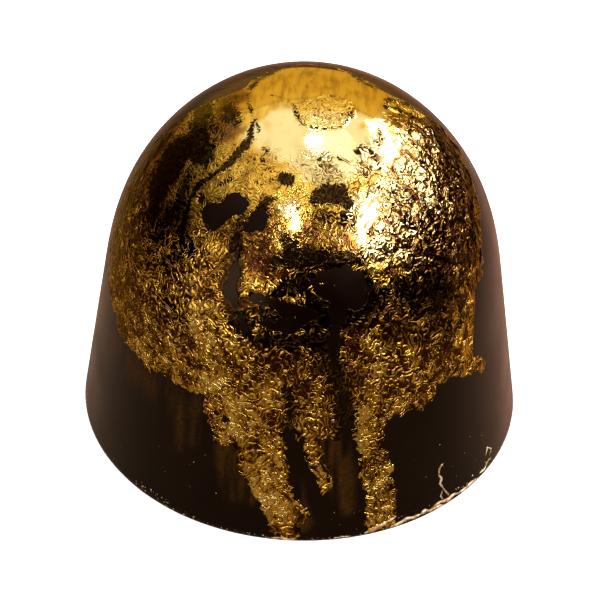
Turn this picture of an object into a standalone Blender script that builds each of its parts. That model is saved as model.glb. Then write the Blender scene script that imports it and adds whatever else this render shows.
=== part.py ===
"""A moulded chocolate praline: one solid turned body with a drafted wall and a high rounded crown.

Row frame: metres, +Z up, the origin at the centre of the flat base that the praline stands on.
"""

import math

import bmesh
import bpy

MM = 0.001

# Driving dimensions
BASE_DIAMETER = 29.0 * MM  # where the wall's line would meet the base plane
HEIGHT = 24.0 * MM
WALL_DRAFT = math.radians(9.1)  # the lean that lets the praline drop out of its mould
SHOULDER_HEIGHT = 11.0 * MM  # the straight wall ends here and the crown starts
CROWN_FULLNESS = 2.54  # 2 is an ellipse, and more is squarer at the shoulder
BASE_EDGE_RADIUS = 0.25 * MM

# Facets
AROUND = 96
CROWN_STEPS = 30
EDGE_STEPS = 4

CHOCOLATE_COLOUR = (0.028, 0.011, 0.006, 1.0)
CHOCOLATE_ROUGHNESS = 0.22


def clear_scene():
    for obj in list(bpy.data.objects):
        bpy.data.objects.remove(obj, do_unlink=True)


def base_edge_points():
    """The small round between the base and the wall, tangent to both, from the base upwards."""
    to_wall = BASE_EDGE_RADIUS * (1 + math.sin(WALL_DRAFT)) / math.cos(WALL_DRAFT)
    centre = BASE_DIAMETER / 2 - to_wall
    points = []
    for step in range(EDGE_STEPS + 1):
        share = step / EDGE_STEPS
        angle = -math.pi / 2 + share * (math.pi / 2 + WALL_DRAFT)
        radius = centre + BASE_EDGE_RADIUS * math.cos(angle)
        height = BASE_EDGE_RADIUS * (1 + math.sin(angle))
        points.append((radius, height))
    return points


def crown_points():
    """A superellipse from the shoulder to the apex, leaned in by the draft so that it leaves the wall smoothly."""
    lean = math.tan(WALL_DRAFT)
    shoulder_radius = BASE_DIAMETER / 2 - SHOULDER_HEIGHT * lean
    rise = HEIGHT - SHOULDER_HEIGHT
    points = []
    for step in range(CROWN_STEPS + 1):
        angle = math.pi / 2 * step / CROWN_STEPS
        share = max(math.cos(angle), 0.0)
        height = rise * math.sin(angle) ** (2 / CROWN_FULLNESS)
        radius = share * (shoulder_radius - lean * height)
        points.append((radius, SHOULDER_HEIGHT + height))
    points[-1] = (0.0, HEIGHT)
    return points


def praline_profile():
    """The half outline, as (radius, height), from the middle of the base to the apex."""
    return [(0.0, 0.0)] + base_edge_points() + crown_points()


def turned_mesh(name, profile):
    """A closed mesh turned about +Z from a half outline that starts and ends on the axis."""
    bm = bmesh.new()
    corners = [bm.verts.new((radius, 0.0, height)) for radius, height in profile]
    edges = [bm.edges.new(pair) for pair in zip(corners, corners[1:])]
    bmesh.ops.spin(
        bm,
        geom=corners + edges,
        axis=(0.0, 0.0, 1.0),
        cent=(0.0, 0.0, 0.0),
        angle=2 * math.pi,
        steps=AROUND,
        use_merge=True,
    )
    bmesh.ops.remove_doubles(bm, verts=bm.verts, dist=0.001 * MM)
    bmesh.ops.recalc_face_normals(bm, faces=bm.faces)
    mesh = bpy.data.meshes.new(name)
    bm.to_mesh(mesh)
    bm.free()
    mesh.shade_smooth()
    mesh.set_sharp_from_angle(angle=math.radians(40))
    return mesh


def chocolate_material():
    material = bpy.data.materials.new("dark_chocolate")
    material.use_nodes = True
    shader = material.node_tree.nodes["Principled BSDF"]
    shader.inputs["Base Color"].default_value = CHOCOLATE_COLOUR
    shader.inputs["Roughness"].default_value = CHOCOLATE_ROUGHNESS
    shader.inputs["Metallic"].default_value = 0.0
    return material


def make_praline():
    mesh = turned_mesh("praline", praline_profile())
    mesh.materials.append(chocolate_material())
    praline = bpy.data.objects.new("praline", mesh)
    bpy.context.scene.collection.objects.link(praline)
    return praline


clear_scene()
make_praline()
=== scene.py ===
"""Looks of a moulded chocolate praline: a dark shell under torn, crinkled gold leaf that runs down its front.

Lengths are in metres unless a name or a comment says millimetres. A place on the outside is given as
(azimuth in degrees, arc in millimetres): azimuth 0 is the front, -Y, and 90 is the right, +X, and the arc
is measured up the outline from the base plane, over the shoulder and on to the apex.
"""

import itertools
import math
from types import SimpleNamespace

import bpy
import numpy as np
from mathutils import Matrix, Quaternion, Vector


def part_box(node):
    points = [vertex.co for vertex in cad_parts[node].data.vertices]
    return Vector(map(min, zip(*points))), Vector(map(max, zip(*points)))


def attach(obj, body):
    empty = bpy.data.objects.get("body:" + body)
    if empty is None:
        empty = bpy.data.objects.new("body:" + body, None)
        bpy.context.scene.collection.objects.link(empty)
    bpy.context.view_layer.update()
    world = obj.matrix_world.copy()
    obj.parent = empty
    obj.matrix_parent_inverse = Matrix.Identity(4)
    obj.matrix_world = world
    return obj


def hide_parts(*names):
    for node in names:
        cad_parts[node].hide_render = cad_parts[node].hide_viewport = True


bl_info = {
    "name": "Gold Leaf Praline",
    "version": (1, 0, 0),
    "blender": (4, 5, 0),
    "location": "View3D > Sidebar > Praline",
    "description": "Makes a moulded chocolate praline with torn gold leaf, and a stage for it",
    "category": "Object",
}

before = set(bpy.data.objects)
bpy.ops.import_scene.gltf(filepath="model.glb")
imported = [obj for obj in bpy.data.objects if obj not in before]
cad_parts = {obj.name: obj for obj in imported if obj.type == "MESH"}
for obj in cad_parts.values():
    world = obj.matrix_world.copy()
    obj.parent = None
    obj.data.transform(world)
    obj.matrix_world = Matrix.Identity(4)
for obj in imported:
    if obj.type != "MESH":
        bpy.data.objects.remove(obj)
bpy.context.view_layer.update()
_, CAD_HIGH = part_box("praline")

MM = 0.001
BODY = "root"
LEAF_SEED = 2.0
HALF = (0.5, 0.5, 0.5)

# What is stored at each of the leaf's points, for its paint and for its shape
PAINT_VALUES = ("edge", "polish", "pale", "fine", "satin", "tone", "folding", "worn")
LEAF_VALUES = (*PAINT_VALUES, "raised")

# Colours, as linear red, green and blue
CHOCOLATE = (0.0035, 0.0011, 0.0004)
CLOUDED_CHOCOLATE = (0.0065, 0.0021, 0.0008)
DUST_COLOUR = (0.12, 0.050, 0.007)
# The scraps' darker gold, and a near-white painted glint that random patches of them take
SCRAP_SHADE = (0.50, 0.26, 0.09)
SCRAP_GLINT = (1.0, 0.78, 0.44)
ROOM_FRONT = (0.020, 0.010, 0.006)
ROOM_BACK = (0.10, 0.05, 0.025)
ROOM_TOP = (0.30, 0.26, 0.19)
TABLE_FRONT = (0.34, 0.25, 0.16)
TABLE_BACK_LEFT = (0.48, 0.29, 0.19)
TABLE_BACK_RIGHT = (0.85, 0.45, 0.30)

# How close together the lumps of each random pattern lie, per metre
CLOUDS = 350.0
SPECKLES = 5000.0
STAINS = 1100.0
STREAKS = 2800.0
GRAIN = 9000.0
BENDS = 700.0
FAINT_PLACES = 900.0
SCRAP_PATCHES = 2500.0

# How far the flake stands above the rest of the leaf
FLAKE_HEIGHT = 0.03 * MM
# How strongly the strokes down the wall lie level
LYING = 0.35
# How many grid cells a face on the leaf's hidden side spans each way
BLOCK = 4

# The leaf's pieces, and the azimuths in degrees between those round the wall
SECTOR_NAMES = (
    "gold_leaf_crown",
    "gold_leaf_front_left",
    "gold_leaf_front_right",
    "gold_leaf_right_front",
    "gold_leaf_right",
    "gold_leaf_left",
)
SECTOR_ENDS = (-50, -8, 26, 65, 150)

# Where the leaf lies, as (azimuth in degrees, arc in millimetres). The hem is the sheet's lower edge.
HEM = (
    (-180, 26.7), (-165, 26.9), (-150, 27.1), (-135, 27.2), (-120, 27.2), (-110, 27.1), (-104, 26.6),
    (-101, 25.0), (-98, 21.0), (-92, 17.0), (-84, 13.8), (-76, 11.8), (-70, 11.0), (-64, 10.3), (-60, 9.6),
    (-53, 9.4), (-45, 9.5), (-38, 9.6), (-30, 9.4), (-24, 9.7), (-21, 8.8), (-17, 8.4), (-6, 8.4),
    (0, 7.6), (8, 7.6), (14, 7.4), (17, 7.6), (25, 8.3), (29, 8.3), (38, 8.6), (40.5, 9.6), (42, 9.1),
    (47, 9.4), (53, 9.2), (55, 9.0), (57, 12.0), (60, 14.2), (68, 15.0), (76, 17.0), (90, 19.0),
    (100, 20.0), (106, 22.5), (109, 25.0), (114, 26.0), (127, 26.3), (140, 26.6), (150, 26.3), (165, 26.7),
    (180, 26.7),
)

# Runs of leaf below the hem, as chains of (azimuth, arc, half width in millimetres)
RUNS = {
    "left front": (
        (-12, 9.4, 2.0), (-10, 8.0, 1.7), (-9, 6.0, 1.6), (-6, 4.0, 1.4), (-4, 2.5, 1.1), (-2, 0.9, 0.6),
    ),
    "left lobe": ((-24, 9.6, 0.5), (-22, 7.9, 0.7), (-18, 7.0, 0.6)),
    "thin": ((1, 9.5, 0.7), (2.5, 8.5, 0.68), (4, 7.2, 0.62), (5.5, 5.6, 0.52), (7.5, 4.2, 0.35)),
    "foot": ((-1, 3.6, 0.3), (0.5, 2.4, 0.45), (1, 1.6, 0.3)),
    "right front": ((17, 9.6, 1.4), (17.5, 8.3, 1.1), (19.5, 5.5, 1.0), (22, 3.2, 1.1), (22.5, 0.6, 1.1)),
    "right tip": ((52, 9.4, 0.5), (56.5, 8.9, 0.3), (60, 8.3, 0.14)),
}

# Holes in the leaf, as chains of (azimuth, arc, half width in millimetres)
TEARS = {
    "slanted spot": ((-21.5, 20.9, 0.42), (-19, 21.3, 0.62), (-17, 21.6, 0.48)),
    "eyebrow left": ((-45.5, 21.2, 0.08), (-43, 21.1, 0.2), (-40, 20.9, 0.6), (-36.5, 20.95, 0.8)),
    "eyebrow right": ((-36, 21.1, 0.7), (-34, 21.4, 0.7), (-31, 21.9, 0.68), (-28.5, 21.85, 0.5)),
    "left dark slot": ((-23, 19.4, 0.12), (-22.3, 17.8, 0.2), (-22.6, 16.7, 0.35), (-20, 16.2, 0.2)),
    "left dark foot": ((-18, 16.0, 0.12), (-17, 15.0, 0.16), (-16, 14.4, 0.1)),
    "middle hollow": ((-15, 16.8, 0.2), (-9, 16.8, 0.26), (-4, 16.4, 0.5), (2, 16.2, 0.6)),
    "middle drop": ((-12, 15.5, 0.1), (-7, 15.4, 0.3), (-3, 15.4, 0.5), (2, 16.0, 0.4)),
    "big hollow": ((5, 17.7, 0.4), (9, 17.6, 0.8), (14, 17.2, 0.9), (17, 17.0, 0.5)),
    "big hollow top": ((4, 18.2, 0.3), (8, 18.4, 0.55), (13, 18.3, 0.7), (17.5, 17.9, 0.5)),
    "big hollow foot": ((11, 16.6, 0.7), (9.5, 15.2, 0.3), (9, 13.8, 0.15)),
    "right channel": (
        (9, 14.0, 0.12), (9.5, 12.4, 0.1), (12, 10.2, 0.15), (13.2, 8.5, 0.3), (13.5, 6.0, 0.5),
    ),
    "left channel": ((-3, 8.8, 0.1), (-1.5, 7.6, 0.2), (-0.5, 6.0, 0.3)),
}

# A crumpled flake that lies on the mirror-smooth crown, and pale gold painted as highlight where the lights
# reflect, as on the polished front below it
FLAKE = ((8, 29.0, 1.2), (25, 28.9, 1.5), (48, 28.9, 1.2))
PALE_HIGHLIGHTS = {
    "front": ((-40, 26.4, 0.8), (-15, 26.6, 1.8), (15, 26.0, 1.6), (40, 25.4, 2.0), (75, 25.2, 1.4)),
    "right": ((20, 20.8, 1.0), (32, 20.8, 2.4), (48, 20.6, 3.6), (64, 21.4, 3.2), (80, 23.0, 2.0)),
    "front spot": ((-5, 22.3, 0.35), (-4, 21.2, 0.35)),
    "crown front": ((-30, 28.0, 0.7), (5, 27.6, 0.9), (60, 27.2, 0.8)),
}

# Smooth patches below the crown that mirror the lights whole
SMOOTH = {
    "right streak": ((17, 20.2, 0.3), (20, 20.9, 0.45), (25, 21.7, 0.5), (31, 22.3, 0.4)),
    "right high streak": ((63, 25.9, 0.5), (54, 24.8, 0.6), (46, 24.4, 0.4)),
    "hot square": ((-4, 26.7, 0.7), (17, 26.7, 0.7)),
    "front spot": ((-5, 22.3, 0.3), (-4, 21.2, 0.35)),
    "left gleam": ((-8.5, 18.3, 0.08), (-8, 18.1, 0.08)),
}

# Patches of brighter or duller leaf, as (level from 0 to 1, softness in millimetres, chain)
TONES = {
    "left wall": (0.08, 1.0, ((-70, 14.0, 2.0), (-60, 12.5, 1.8), (-50, 11.5, 1.6), (-44, 14.0, 1.2))),
    "left hem": (0.66, 0.5, ((-56, 10.0, 0.4), (-44, 10.3, 0.5), (-36, 11.2, 0.6))),
    "drape": (0.97, 0.5, (
        (-33, 15.8, 0.5), (-29, 14.8, 0.8), (-27, 13.0, 0.9), (-25, 11.5, 1.0), (-22, 10.2, 0.7),
    )),
    "drape foot": (0.9, 0.4, ((-31, 10.0, 0.4), (-26, 10.0, 0.5), (-18, 9.2, 0.7), (-17, 8.0, 0.7))),
    "left run": (0.92, 0.4, ((-14, 8.6, 1.2), (-10, 7.0, 1.4), (-8, 4.6, 1.3), (-3, 1.6, 1.0))),
    "left run top": (0.72, 0.4, ((-8, 11.8, 0.6), (-7, 10.4, 0.6))),
    "thin run": (0.62, 0.3, ((1, 9.0, 0.5), (4, 7.0, 0.5), (7, 4.4, 0.4))),
    "right run": (0.76, 0.4, (
        (20, 14.0, 0.6), (20, 12.0, 0.8), (19, 9.5, 1.1), (18, 7.0, 1.0), (21, 4.0, 1.0), (22, 1.0, 0.9),
    )),
    "right hem": (0.3, 0.5, ((24, 9.3, 0.7), (34, 10.0, 1.0), (44, 10.2, 0.8), (52, 10.0, 0.6))),
    "ring": (0.52, 0.3, ((-18, 18.0, 0.4), (-13, 17.8, 0.5), (-10, 17.6, 0.3))),
    "under brows": (0.46, 0.4, (
        (-43, 19.7, 0.4), (-35, 19.5, 0.6), (-29, 20.1, 0.6), (-28, 18.0, 0.7), (-28, 17.0, 0.5),
    )),
    "cheek gold": (0.36, 0.5, ((-44, 15.6, 0.6), (-38, 15.8, 0.7), (-36, 16.8, 0.5))),
    "middle": (0.04, 0.6, (
        (-7, 14.0, 1.3), (1, 14.2, 1.2), (8, 13.8, 0.8), (5, 11.5, 1.2), (-2, 10.0, 0.6),
    )),
    "right dark": (0.06, 0.8, (
        (20, 16.4, 1.2), (24, 16.8, 1.0), (32, 16.0, 1.6), (44, 15.4, 2.0), (56, 15.0, 2.0),
    )),
    "left edge": (0.02, 1.2, ((-104, 20.0, 2.5), (-92, 16.5, 2.5), (-82, 13.0, 2.0), (-72, 11.5, 1.0))),
    "left temple": (0.08, 1.0, ((-80, 17.0, 2.0), (-66, 16.0, 2.2), (-54, 18.0, 1.6))),
    "right cheek": (0.08, 1.2, ((52, 17.0, 1.4), (66, 18.6, 2.2), (80, 20.0, 2.0), (92, 22.0, 1.6))),
    "right low": (0.14, 0.8, ((28, 12.4, 0.6), (38, 12.4, 1.4), (50, 12.2, 1.6), (62, 13.0, 1.0))),
    "crown left": (0.72, 0.8, (
        (-48, 24.6, 0.8), (-38, 24.4, 1.0), (-26, 23.6, 1.2), (-12, 22.8, 1.2), (0, 22.4, 1.0),
    )),
    "crown middle": (0.34, 0.6, ((-26, 20.4, 0.5), (-12, 20.6, 1.0), (2, 20.8, 0.8), (14, 20.8, 0.7))),
    "wedge": (0.8, 0.15, ((13, 25.9, 0.15), (12, 25.2, 0.6), (11, 24.5, 0.95))),
    "left crown": (0.3, 0.6, ((-95, 26.2, 1.0), (-75, 25.6, 1.2), (-60, 25.2, 0.9))),
    "above hollow": (0.14, 0.5, ((-13, 19.5, 0.6), (-2, 19.2, 0.8), (12, 19.2, 0.9), (18, 19.8, 0.5))),
    "lower front": (0.44, 0.6, ((-2, 21.8, 0.8), (10, 21.6, 0.8), (20, 21.0, 0.4))),
    "flake": (0.78, 0.4, ((8, 29.0, 1.0), (25, 28.9, 1.2), (48, 28.9, 1.0))),
    "left of nose": (0.16, 0.5, ((-14, 20.8, 0.5), (-12, 19.4, 0.7), (-7, 18.4, 0.5))),
    "below hollow": (0.0, 0.6, ((8, 15.6, 0.5), (12, 14.5, 1.0), (13, 13.0, 1.0), (12, 11.0, 0.7))),
    "drape side": (0.62, 0.6, ((-38, 13.0, 0.7), (-37, 11.5, 0.7), (-35, 10.2, 0.6))),
    "right rim": (0.35, 0.6, ((80, 25.4, 0.8), (88, 24.0, 1.0), (84, 22.6, 0.8))),
    "brow rims": (0.62, 0.25, ((-47, 20.2, 0.15), (-42, 19.9, 0.3), (-36, 19.8, 0.3), (-31, 20.4, 0.2))),
}

# Places away from the right side where coarse folds cross the wrinkles
DRAPES = {
    "left drape": ((-42, 12.0, 1.0), (-34, 11.0, 1.4), (-26, 10.4, 1.2), (-20, 9.2, 0.8)),
    "left high drape": ((-34, 15.6, 0.8), (-30, 13.6, 1.0), (-27, 12.0, 1.0)),
    "left run": ((-12, 8.0, 1.0), (-8, 4.5, 1.2), (-4, 1.5, 0.8)),
    "right run": ((20, 12.0, 1.2), (18, 8.0, 1.0), (21, 4.0, 1.0), (22, 1.0, 0.8)),
}

# Worn patches, each as (strength, softness in millimetres, chain)
WORN = {
    "left crack": (1.0, 0.16, (
        (-52, 26.8, 0.17), (-47, 26.3, 0.21), (-43, 26.0, 0.25), (-42.5, 25.4, 0.35), (-43, 24.7, 0.31),
        (-43, 24.1, 0.37), (-45, 23.5, 0.25), (-48, 22.5, 0.19), (-50, 22.0, 0.25), (-50, 21.0, 0.19),
        (-48, 20.1, 0.23), (-46, 19.2, 0.27), (-45, 18.5, 0.25),
    )),
    "crack branch": (0.84, 0.16, (
        (-56, 27.1, 0.12), (-46, 26.85, 0.13), (-42, 26.65, 0.15), (-41, 26.35, 0.1),
    )),
    "crack spur": (0.84, 0.16, ((-43, 25.95, 0.14), (-37.5, 26.1, 0.12))),
    "top left line": (0.84, 0.16, (
        (-98, 27.2, 0.14), (-75, 27.35, 0.14), (-62, 27.2, 0.14), (-54, 27.05, 0.12),
    )),
    "left top": (0.95, 0.4, ((-86, 25.9, 0.6), (-74, 26.1, 0.7), (-64, 26.2, 0.35))),
    "left shoulder": (0.95, 0.6, (
        (-94, 24.2, 1.2), (-80, 24.0, 1.2), (-70, 23.6, 1.3), (-60, 23.4, 1.0), (-55, 23.2, 0.4),
    )),
    "left stripe": (0.95, 0.6, ((-76, 22.0, 1.6), (-69, 20.2, 1.6), (-63, 18.8, 1.0))),
    "left flank": (0.98, 1.2, (
        (-118, 23.0, 2.0), (-100, 20.5, 2.4), (-90, 18.0, 2.4), (-82, 15.0, 1.8), (-76, 12.6, 1.2),
    )),
    "left temple": (0.92, 0.5, ((-58, 21.8, 0.6), (-54, 20.6, 0.7), (-54, 19.2, 0.8), (-56, 17.6, 0.7))),
    "left cheek": (0.85, 0.4, ((-50, 16.7, 0.5), (-45, 17.4, 0.7), (-42, 18.3, 0.7), (-47, 18.9, 0.4))),
    "left low cheek": (0.75, 0.4, (
        (-52, 14.0, 0.3), (-45, 14.5, 0.4), (-39, 14.5, 0.5), (-34, 13.6, 0.3), (-37, 12.6, 0.3),
    )),
    "squiggle": (0.84, 0.16, (
        (-29.5, 25.7, 0.14), (-27, 25.6, 0.16), (-27.5, 25.1, 0.14), (-24, 24.7, 0.16), (-20, 24.5, 0.13),
        (-14, 24.5, 0.1),
    )),
    "round spot": (1.0, 0.16, ((-12, 24.25, 0.42), (-9.5, 24.15, 0.44))),
    "dash": (0.84, 0.16, ((-25.5, 23.6, 0.15), (-22, 23.6, 0.13))),
    "dot": (1.0, 0.16, ((-18.5, 23.95, 0.13), (-17.5, 23.95, 0.13))),
    "spot tail": (1.0, 0.16, ((-18.5, 22.2, 0.35), (-17, 22.7, 0.25), (-13.5, 22.85, 0.1))),
    "brow top": (0.9, 0.15, ((-41, 22.6, 0.2), (-38, 23.1, 0.2), (-33, 23.4, 0.08))),
    "brow end": (0.85, 0.2, ((-27, 22.7, 0.15), (-25, 22.3, 0.2), (-26, 21.2, 0.2), (-25, 20.4, 0.3))),
    "wedge tip": (0.47, 0.12, ((13, 26.0, 0.12), (12, 25.4, 0.5), (11.5, 24.6, 0.9))),
    "wedge": (1.0, 0.2, (
        (3, 22.9, 0.35), (7, 23.2, 0.6), (11, 23.3, 0.75), (15, 23.2, 0.7), (19, 22.6, 0.4),
    )),
    "wedge foot": (0.75, 0.5, (
        (3, 22.2, 0.5), (10, 21.9, 0.7), (18, 21.6, 0.6), (20, 20.4, 0.4), (12, 19.8, 0.4),
    )),
    "right squiggle": (0.84, 0.16, (
        (34, 25.5, 0.14), (38, 25.7, 0.16), (42, 25.4, 0.1), (42, 24.6, 0.1), (41, 24.0, 0.06),
    )),
    "right nick": (0.84, 0.16, ((51, 25.5, 0.14), (56, 25.6, 0.18), (62, 26.1, 0.1))),
    "small nick": (0.84, 0.16, ((21, 25.4, 0.1), (25, 25.1, 0.08))),
    "chevron": (0.84, 0.16, ((35.5, 21.9, 0.08), (40.5, 22.5, 0.14), (44, 21.9, 0.12), (47, 21.6, 0.06))),
    "low chevron": (0.84, 0.16, ((40.5, 20.8, 0.08), (42.5, 20.2, 0.14), (49, 20.0, 0.08))),
    "right crack": (1.0, 0.16, (
        (90, 26.3, 0.14), (93, 25.4, 0.22), (93, 24.4, 0.26), (95, 23.4, 0.2), (96, 22.4, 0.12),
    )),
    "right top line": (0.84, 0.16, (
        (88, 26.2, 0.1), (98, 26.1, 0.2), (104, 25.4, 0.22), (106, 24.2, 0.24), (104, 23.0, 0.2),
    )),
    "right pit": (0.95, 0.4, ((92, 22.4, 0.6), (84, 21.6, 0.6), (76, 21.0, 0.3))),
    "back rim": (0.9, 0.25, ((118, 26.7, 0.3), (126, 27.1, 0.3), (148, 26.2, 0.5), (152, 26.6, 0.2))),
    "back left rim": (0.95, 0.3, (
        (-96, 27.3, 0.15), (-110, 27.3, 0.3), (-136, 27.4, 0.3), (-158, 26.7, 0.3),
    )),
    "slot side": (0.98, 0.35, (
        (-24.5, 20.4, 0.4), (-23, 18.8, 0.65), (-22.5, 17.0, 0.85), (-20, 15.8, 0.75), (-16, 15.0, 0.6),
    )),
    "middle top": (0.98, 0.35, ((-7, 20.6, 0.3), (-5, 20.2, 0.5), (-4, 19.4, 0.5), (-9, 19.1, 0.4))),
    "middle": (0.98, 0.5, (
        (-4, 19.3, 0.6), (6, 19.4, 0.75), (14, 19.4, 0.7), (19, 19.2, 0.5), (21, 18.2, 0.3),
    )),
    "middle bridge": (1.0, 0.35, ((-10, 17.3, 0.2), (-2, 17.9, 0.75), (4, 18.4, 0.6))),
    "middle side": (0.98, 0.45, (
        (-14, 16.2, 0.5), (-6, 15.8, 1.0), (2, 16.1, 1.1), (9, 16.7, 1.8), (17, 17.0, 1.6),
    )),
    "lower middle": (0.95, 0.5, (
        (-12, 14.4, 0.4), (-6, 14.5, 0.7), (2, 14.6, 0.9), (7, 14.4, 0.7), (6, 13.0, 0.5),
    )),
    "channel side": (0.95, 0.35, (
        (8.5, 14.5, 0.6), (9.5, 12.2, 0.6), (12, 10.2, 0.6), (12.5, 8.0, 0.8), (11.5, 6.0, 1.2),
    )),
    "channel left": (0.93, 0.3, ((-3.5, 11.2, 0.4), (-2, 10.2, 0.3), (-2.5, 9.0, 0.4), (-0.5, 7.0, 0.6))),
    "right brow": (0.93, 0.7, ((22, 16.8, 0.6), (31, 16.6, 1.0), (40, 16.0, 1.2), (49, 15.4, 1.0))),
    "right low": (0.7, 0.6, ((33, 13.6, 0.6), (42, 13.6, 0.6), (52, 13.0, 0.6), (38, 12.0, 0.3))),
    "flake border": (0.84, 0.16, (
        (-6, 28.0, 0.1), (6, 27.8, 0.12), (16, 27.6, 0.14), (28, 27.45, 0.12), (41, 27.6, 0.16),
        (56, 27.9, 0.1),
    )),
    "worm line": (0.84, 0.16, (
        (-81, 28.8, 0.06), (-66, 29.3, 0.06), (-36, 29.4, 0.1), (-19, 28.8, 0.13), (-8, 28.0, 0.12),
    )),
    "right edge": (0.94, 1.3, ((102, 21.0, 1.8), (84, 19.4, 1.5), (72, 17.6, 1.2), (62, 16.6, 0.8))),
}

# Torn strands of leaf that cling near the rim, as chains of (azimuth, arc, half width in millimetres)
SHREDS = {
    "first": (
        (17.5, 0.35, 0.05), (19.0, 0.45, 0.1), (21.0, 0.6, 0.13), (23.5, 0.85, 0.1), (26.2, 1.05, 0.05),
    ),
    "second": (
        (24.0, 0.3, 0.05), (25.5, 0.4, 0.09), (27.5, 0.45, 0.1), (29.2, 0.6, 0.08), (31.0, 0.45, 0.1),
        (33.2, 0.5, 0.12),
    ),
    "third": (
        (33.0, 0.5, 0.08), (34.5, 0.6, 0.11), (36.0, 0.42, 0.1), (38.0, 0.5, 0.12), (40.5, 0.35, 0.08),
    ),
    "fourth": (
        (37.0, 0.65, 0.06), (39.5, 0.7, 0.1), (42.0, 0.5, 0.12), (44.0, 0.62, 0.1), (46.5, 0.42, 0.08),
    ),
    "fifth": ((46.0, 0.5, 0.06), (48.5, 0.4, 0.1), (51.0, 0.5, 0.08), (54.0, 0.35, 0.06)),
    "sixth": ((54.5, 0.6, 0.05), (57.0, 0.5, 0.08), (59.0, 0.9, 0.06), (61.0, 0.7, 0.04)),
    "upright": (
        (40.9, 3.55, 0.08), (39.6, 3.2, 0.07), (39.4, 2.8, 0.05), (40.1, 2.45, 0.09), (39.5, 2.1, 0.05),
        (40.4, 1.7, 0.07),
    ),
    "upright foot": ((40.2, 1.75, 0.05), (41.4, 1.2, 0.07), (42.6, 0.75, 0.06)),
    "upright side": ((40.3, 1.5, 0.04), (39.6, 1.1, 0.05), (40.2, 0.8, 0.05)),
    "curl": ((58.0, 1.5, 0.04), (59.5, 1.9, 0.06), (61.0, 1.5, 0.05), (60.2, 1.1, 0.04)),
    "front": ((-6.0, 0.3, 0.03), (-4.0, 0.35, 0.06), (-1.5, 0.3, 0.05), (0.5, 0.34, 0.03)),
    "front right": ((9.0, 0.3, 0.03), (11.5, 0.36, 0.05), (14.0, 0.3, 0.03)),
}

# Small crumbs of leaf on the bare chocolate, as (how many, largest size in millimetres, chain)
SPECKS = {
    "left rim": (34, 0.16, ((-46, 0.6, 0.3), (-40, 0.7, 0.3), (-33, 0.5, 0.25), (-26, 0.4, 0.15))),
    "left front rim": (22, 0.12, ((-26, 0.4, 0.1), (-14, 0.32, 0.1), (-4, 0.3, 0.1))),
    "front rim": (16, 0.1, ((4, 0.3, 0.1), (16, 0.32, 0.12))),
    "right rim": (46, 0.14, ((16, 0.5, 0.3), (30, 0.6, 0.3), (46, 0.6, 0.3), (62, 0.7, 0.3))),
    "left wall": (14, 0.08, ((-60, 1.0, 0.8), (-40, 3.0, 1.5), (-25, 4.0, 1.5))),
    "between runs": (16, 0.08, ((8, 6.0, 1.0), (13, 3.0, 1.0), (12, 1.5, 0.8))),
    "right wall": (12, 0.08, ((30, 4.0, 1.5), (44, 3.0, 1.5), (60, 2.0, 1.0))),
    "hollows": (9, 0.07, ((-16, 16.6, 0.4), (-2, 16.4, 0.5), (6, 17.0, 0.8), (14, 17.4, 0.6))),
}

# Streaks of gold dust on the bare chocolate, as (strength, softness in millimetres, chain)
DUST = {
    "under hem": (0.5, 1.0, ((-62, 8.6, 0.8), (-45, 8.4, 0.8), (-26, 8.6, 0.8))),
    "left streak": (0.8, 0.4, ((-34, 8.8, 0.3), (-33, 6.5, 0.3), (-32.5, 5.0, 0.1))),
    "left middle streak": (0.55, 0.5, ((-28, 8.8, 0.3), (-28, 6.0, 0.3))),
    "beside run": (1.0, 0.4, ((-20, 7.4, 0.5), (-19, 5.0, 0.4), (-17, 2.8, 0.2))),
    "beside run low": (0.9, 0.4, ((-15.5, 6.0, 0.4), (-12.5, 3.0, 0.4))),
    "between runs": (0.75, 0.5, ((8, 9.4, 0.5), (9.5, 7.0, 0.8), (11.5, 4.5, 0.7), (13, 2.5, 0.4))),
    "beside foot": (0.8, 0.4, ((-0.5, 4.5, 0.3), (1.5, 1.6, 0.6))),
    "left side": (0.6, 2.0, ((-104, 22.0, 2.0), (-96, 17.0, 2.0), (-86, 11.0, 1.5), (-74, 9.0, 1.0))),
    "back left": (2.4, 1.0, ((-106, 25.5, 1.4), (-135, 26.0, 1.4), (-165, 25.6, 1.2))),
    "back right": (2.4, 1.0, ((114, 24.0, 1.2), (135, 25.4, 1.4), (165, 25.4, 1.2), (180, 25.4, 1.2))),
}

# Lights, as (azimuth, elevation, distance, width, height, radiance, colour). Angles are in degrees, and the
# three parts of the ceiling lie over one another, so that it fades towards its front edge.
LIGHTS = {
    "overhead hot": (166, 77.5, 0.40, 0.042, 0.042, 36.0, (0.95, 0.98, 1.2)),
    "overhead glow": (128, 72, 0.41, 0.17, 0.17, 0.6, (1.0, 1.05, 1.3)),
    "deep ceiling": (180, 82, 0.43, 0.80, 0.71, 0.255, (1.0, 1.0, 1.0)),
    "middle ceiling": (180, 80, 0.43, 0.80, 0.64, 0.255, (1.0, 1.0, 1.0)),
    "short ceiling": (180, 78, 0.43, 0.80, 0.56, 0.255, (1.0, 1.0, 1.0)),
    "right window front": (58, 40, 0.42, 0.30, 0.10, 9.0, (1.0, 1.0, 1.12)),
    "right window back": (122, 36, 0.42, 0.24, 0.15, 7.0, (1.0, 1.0, 1.12)),
    "small front": (-10.9, 52.5, 0.42, 0.030, 0.060, 44.0, (0.95, 1.0, 1.5)),
    "low front": (-38, 15, 0.42, 0.22, 0.16, 3.2, (1.0, 0.86, 0.64)),
    "back card": (181, 20.75, 0.45, 0.66, 0.359, 0.6, (1.0, 0.82, 0.30)),
}


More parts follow.
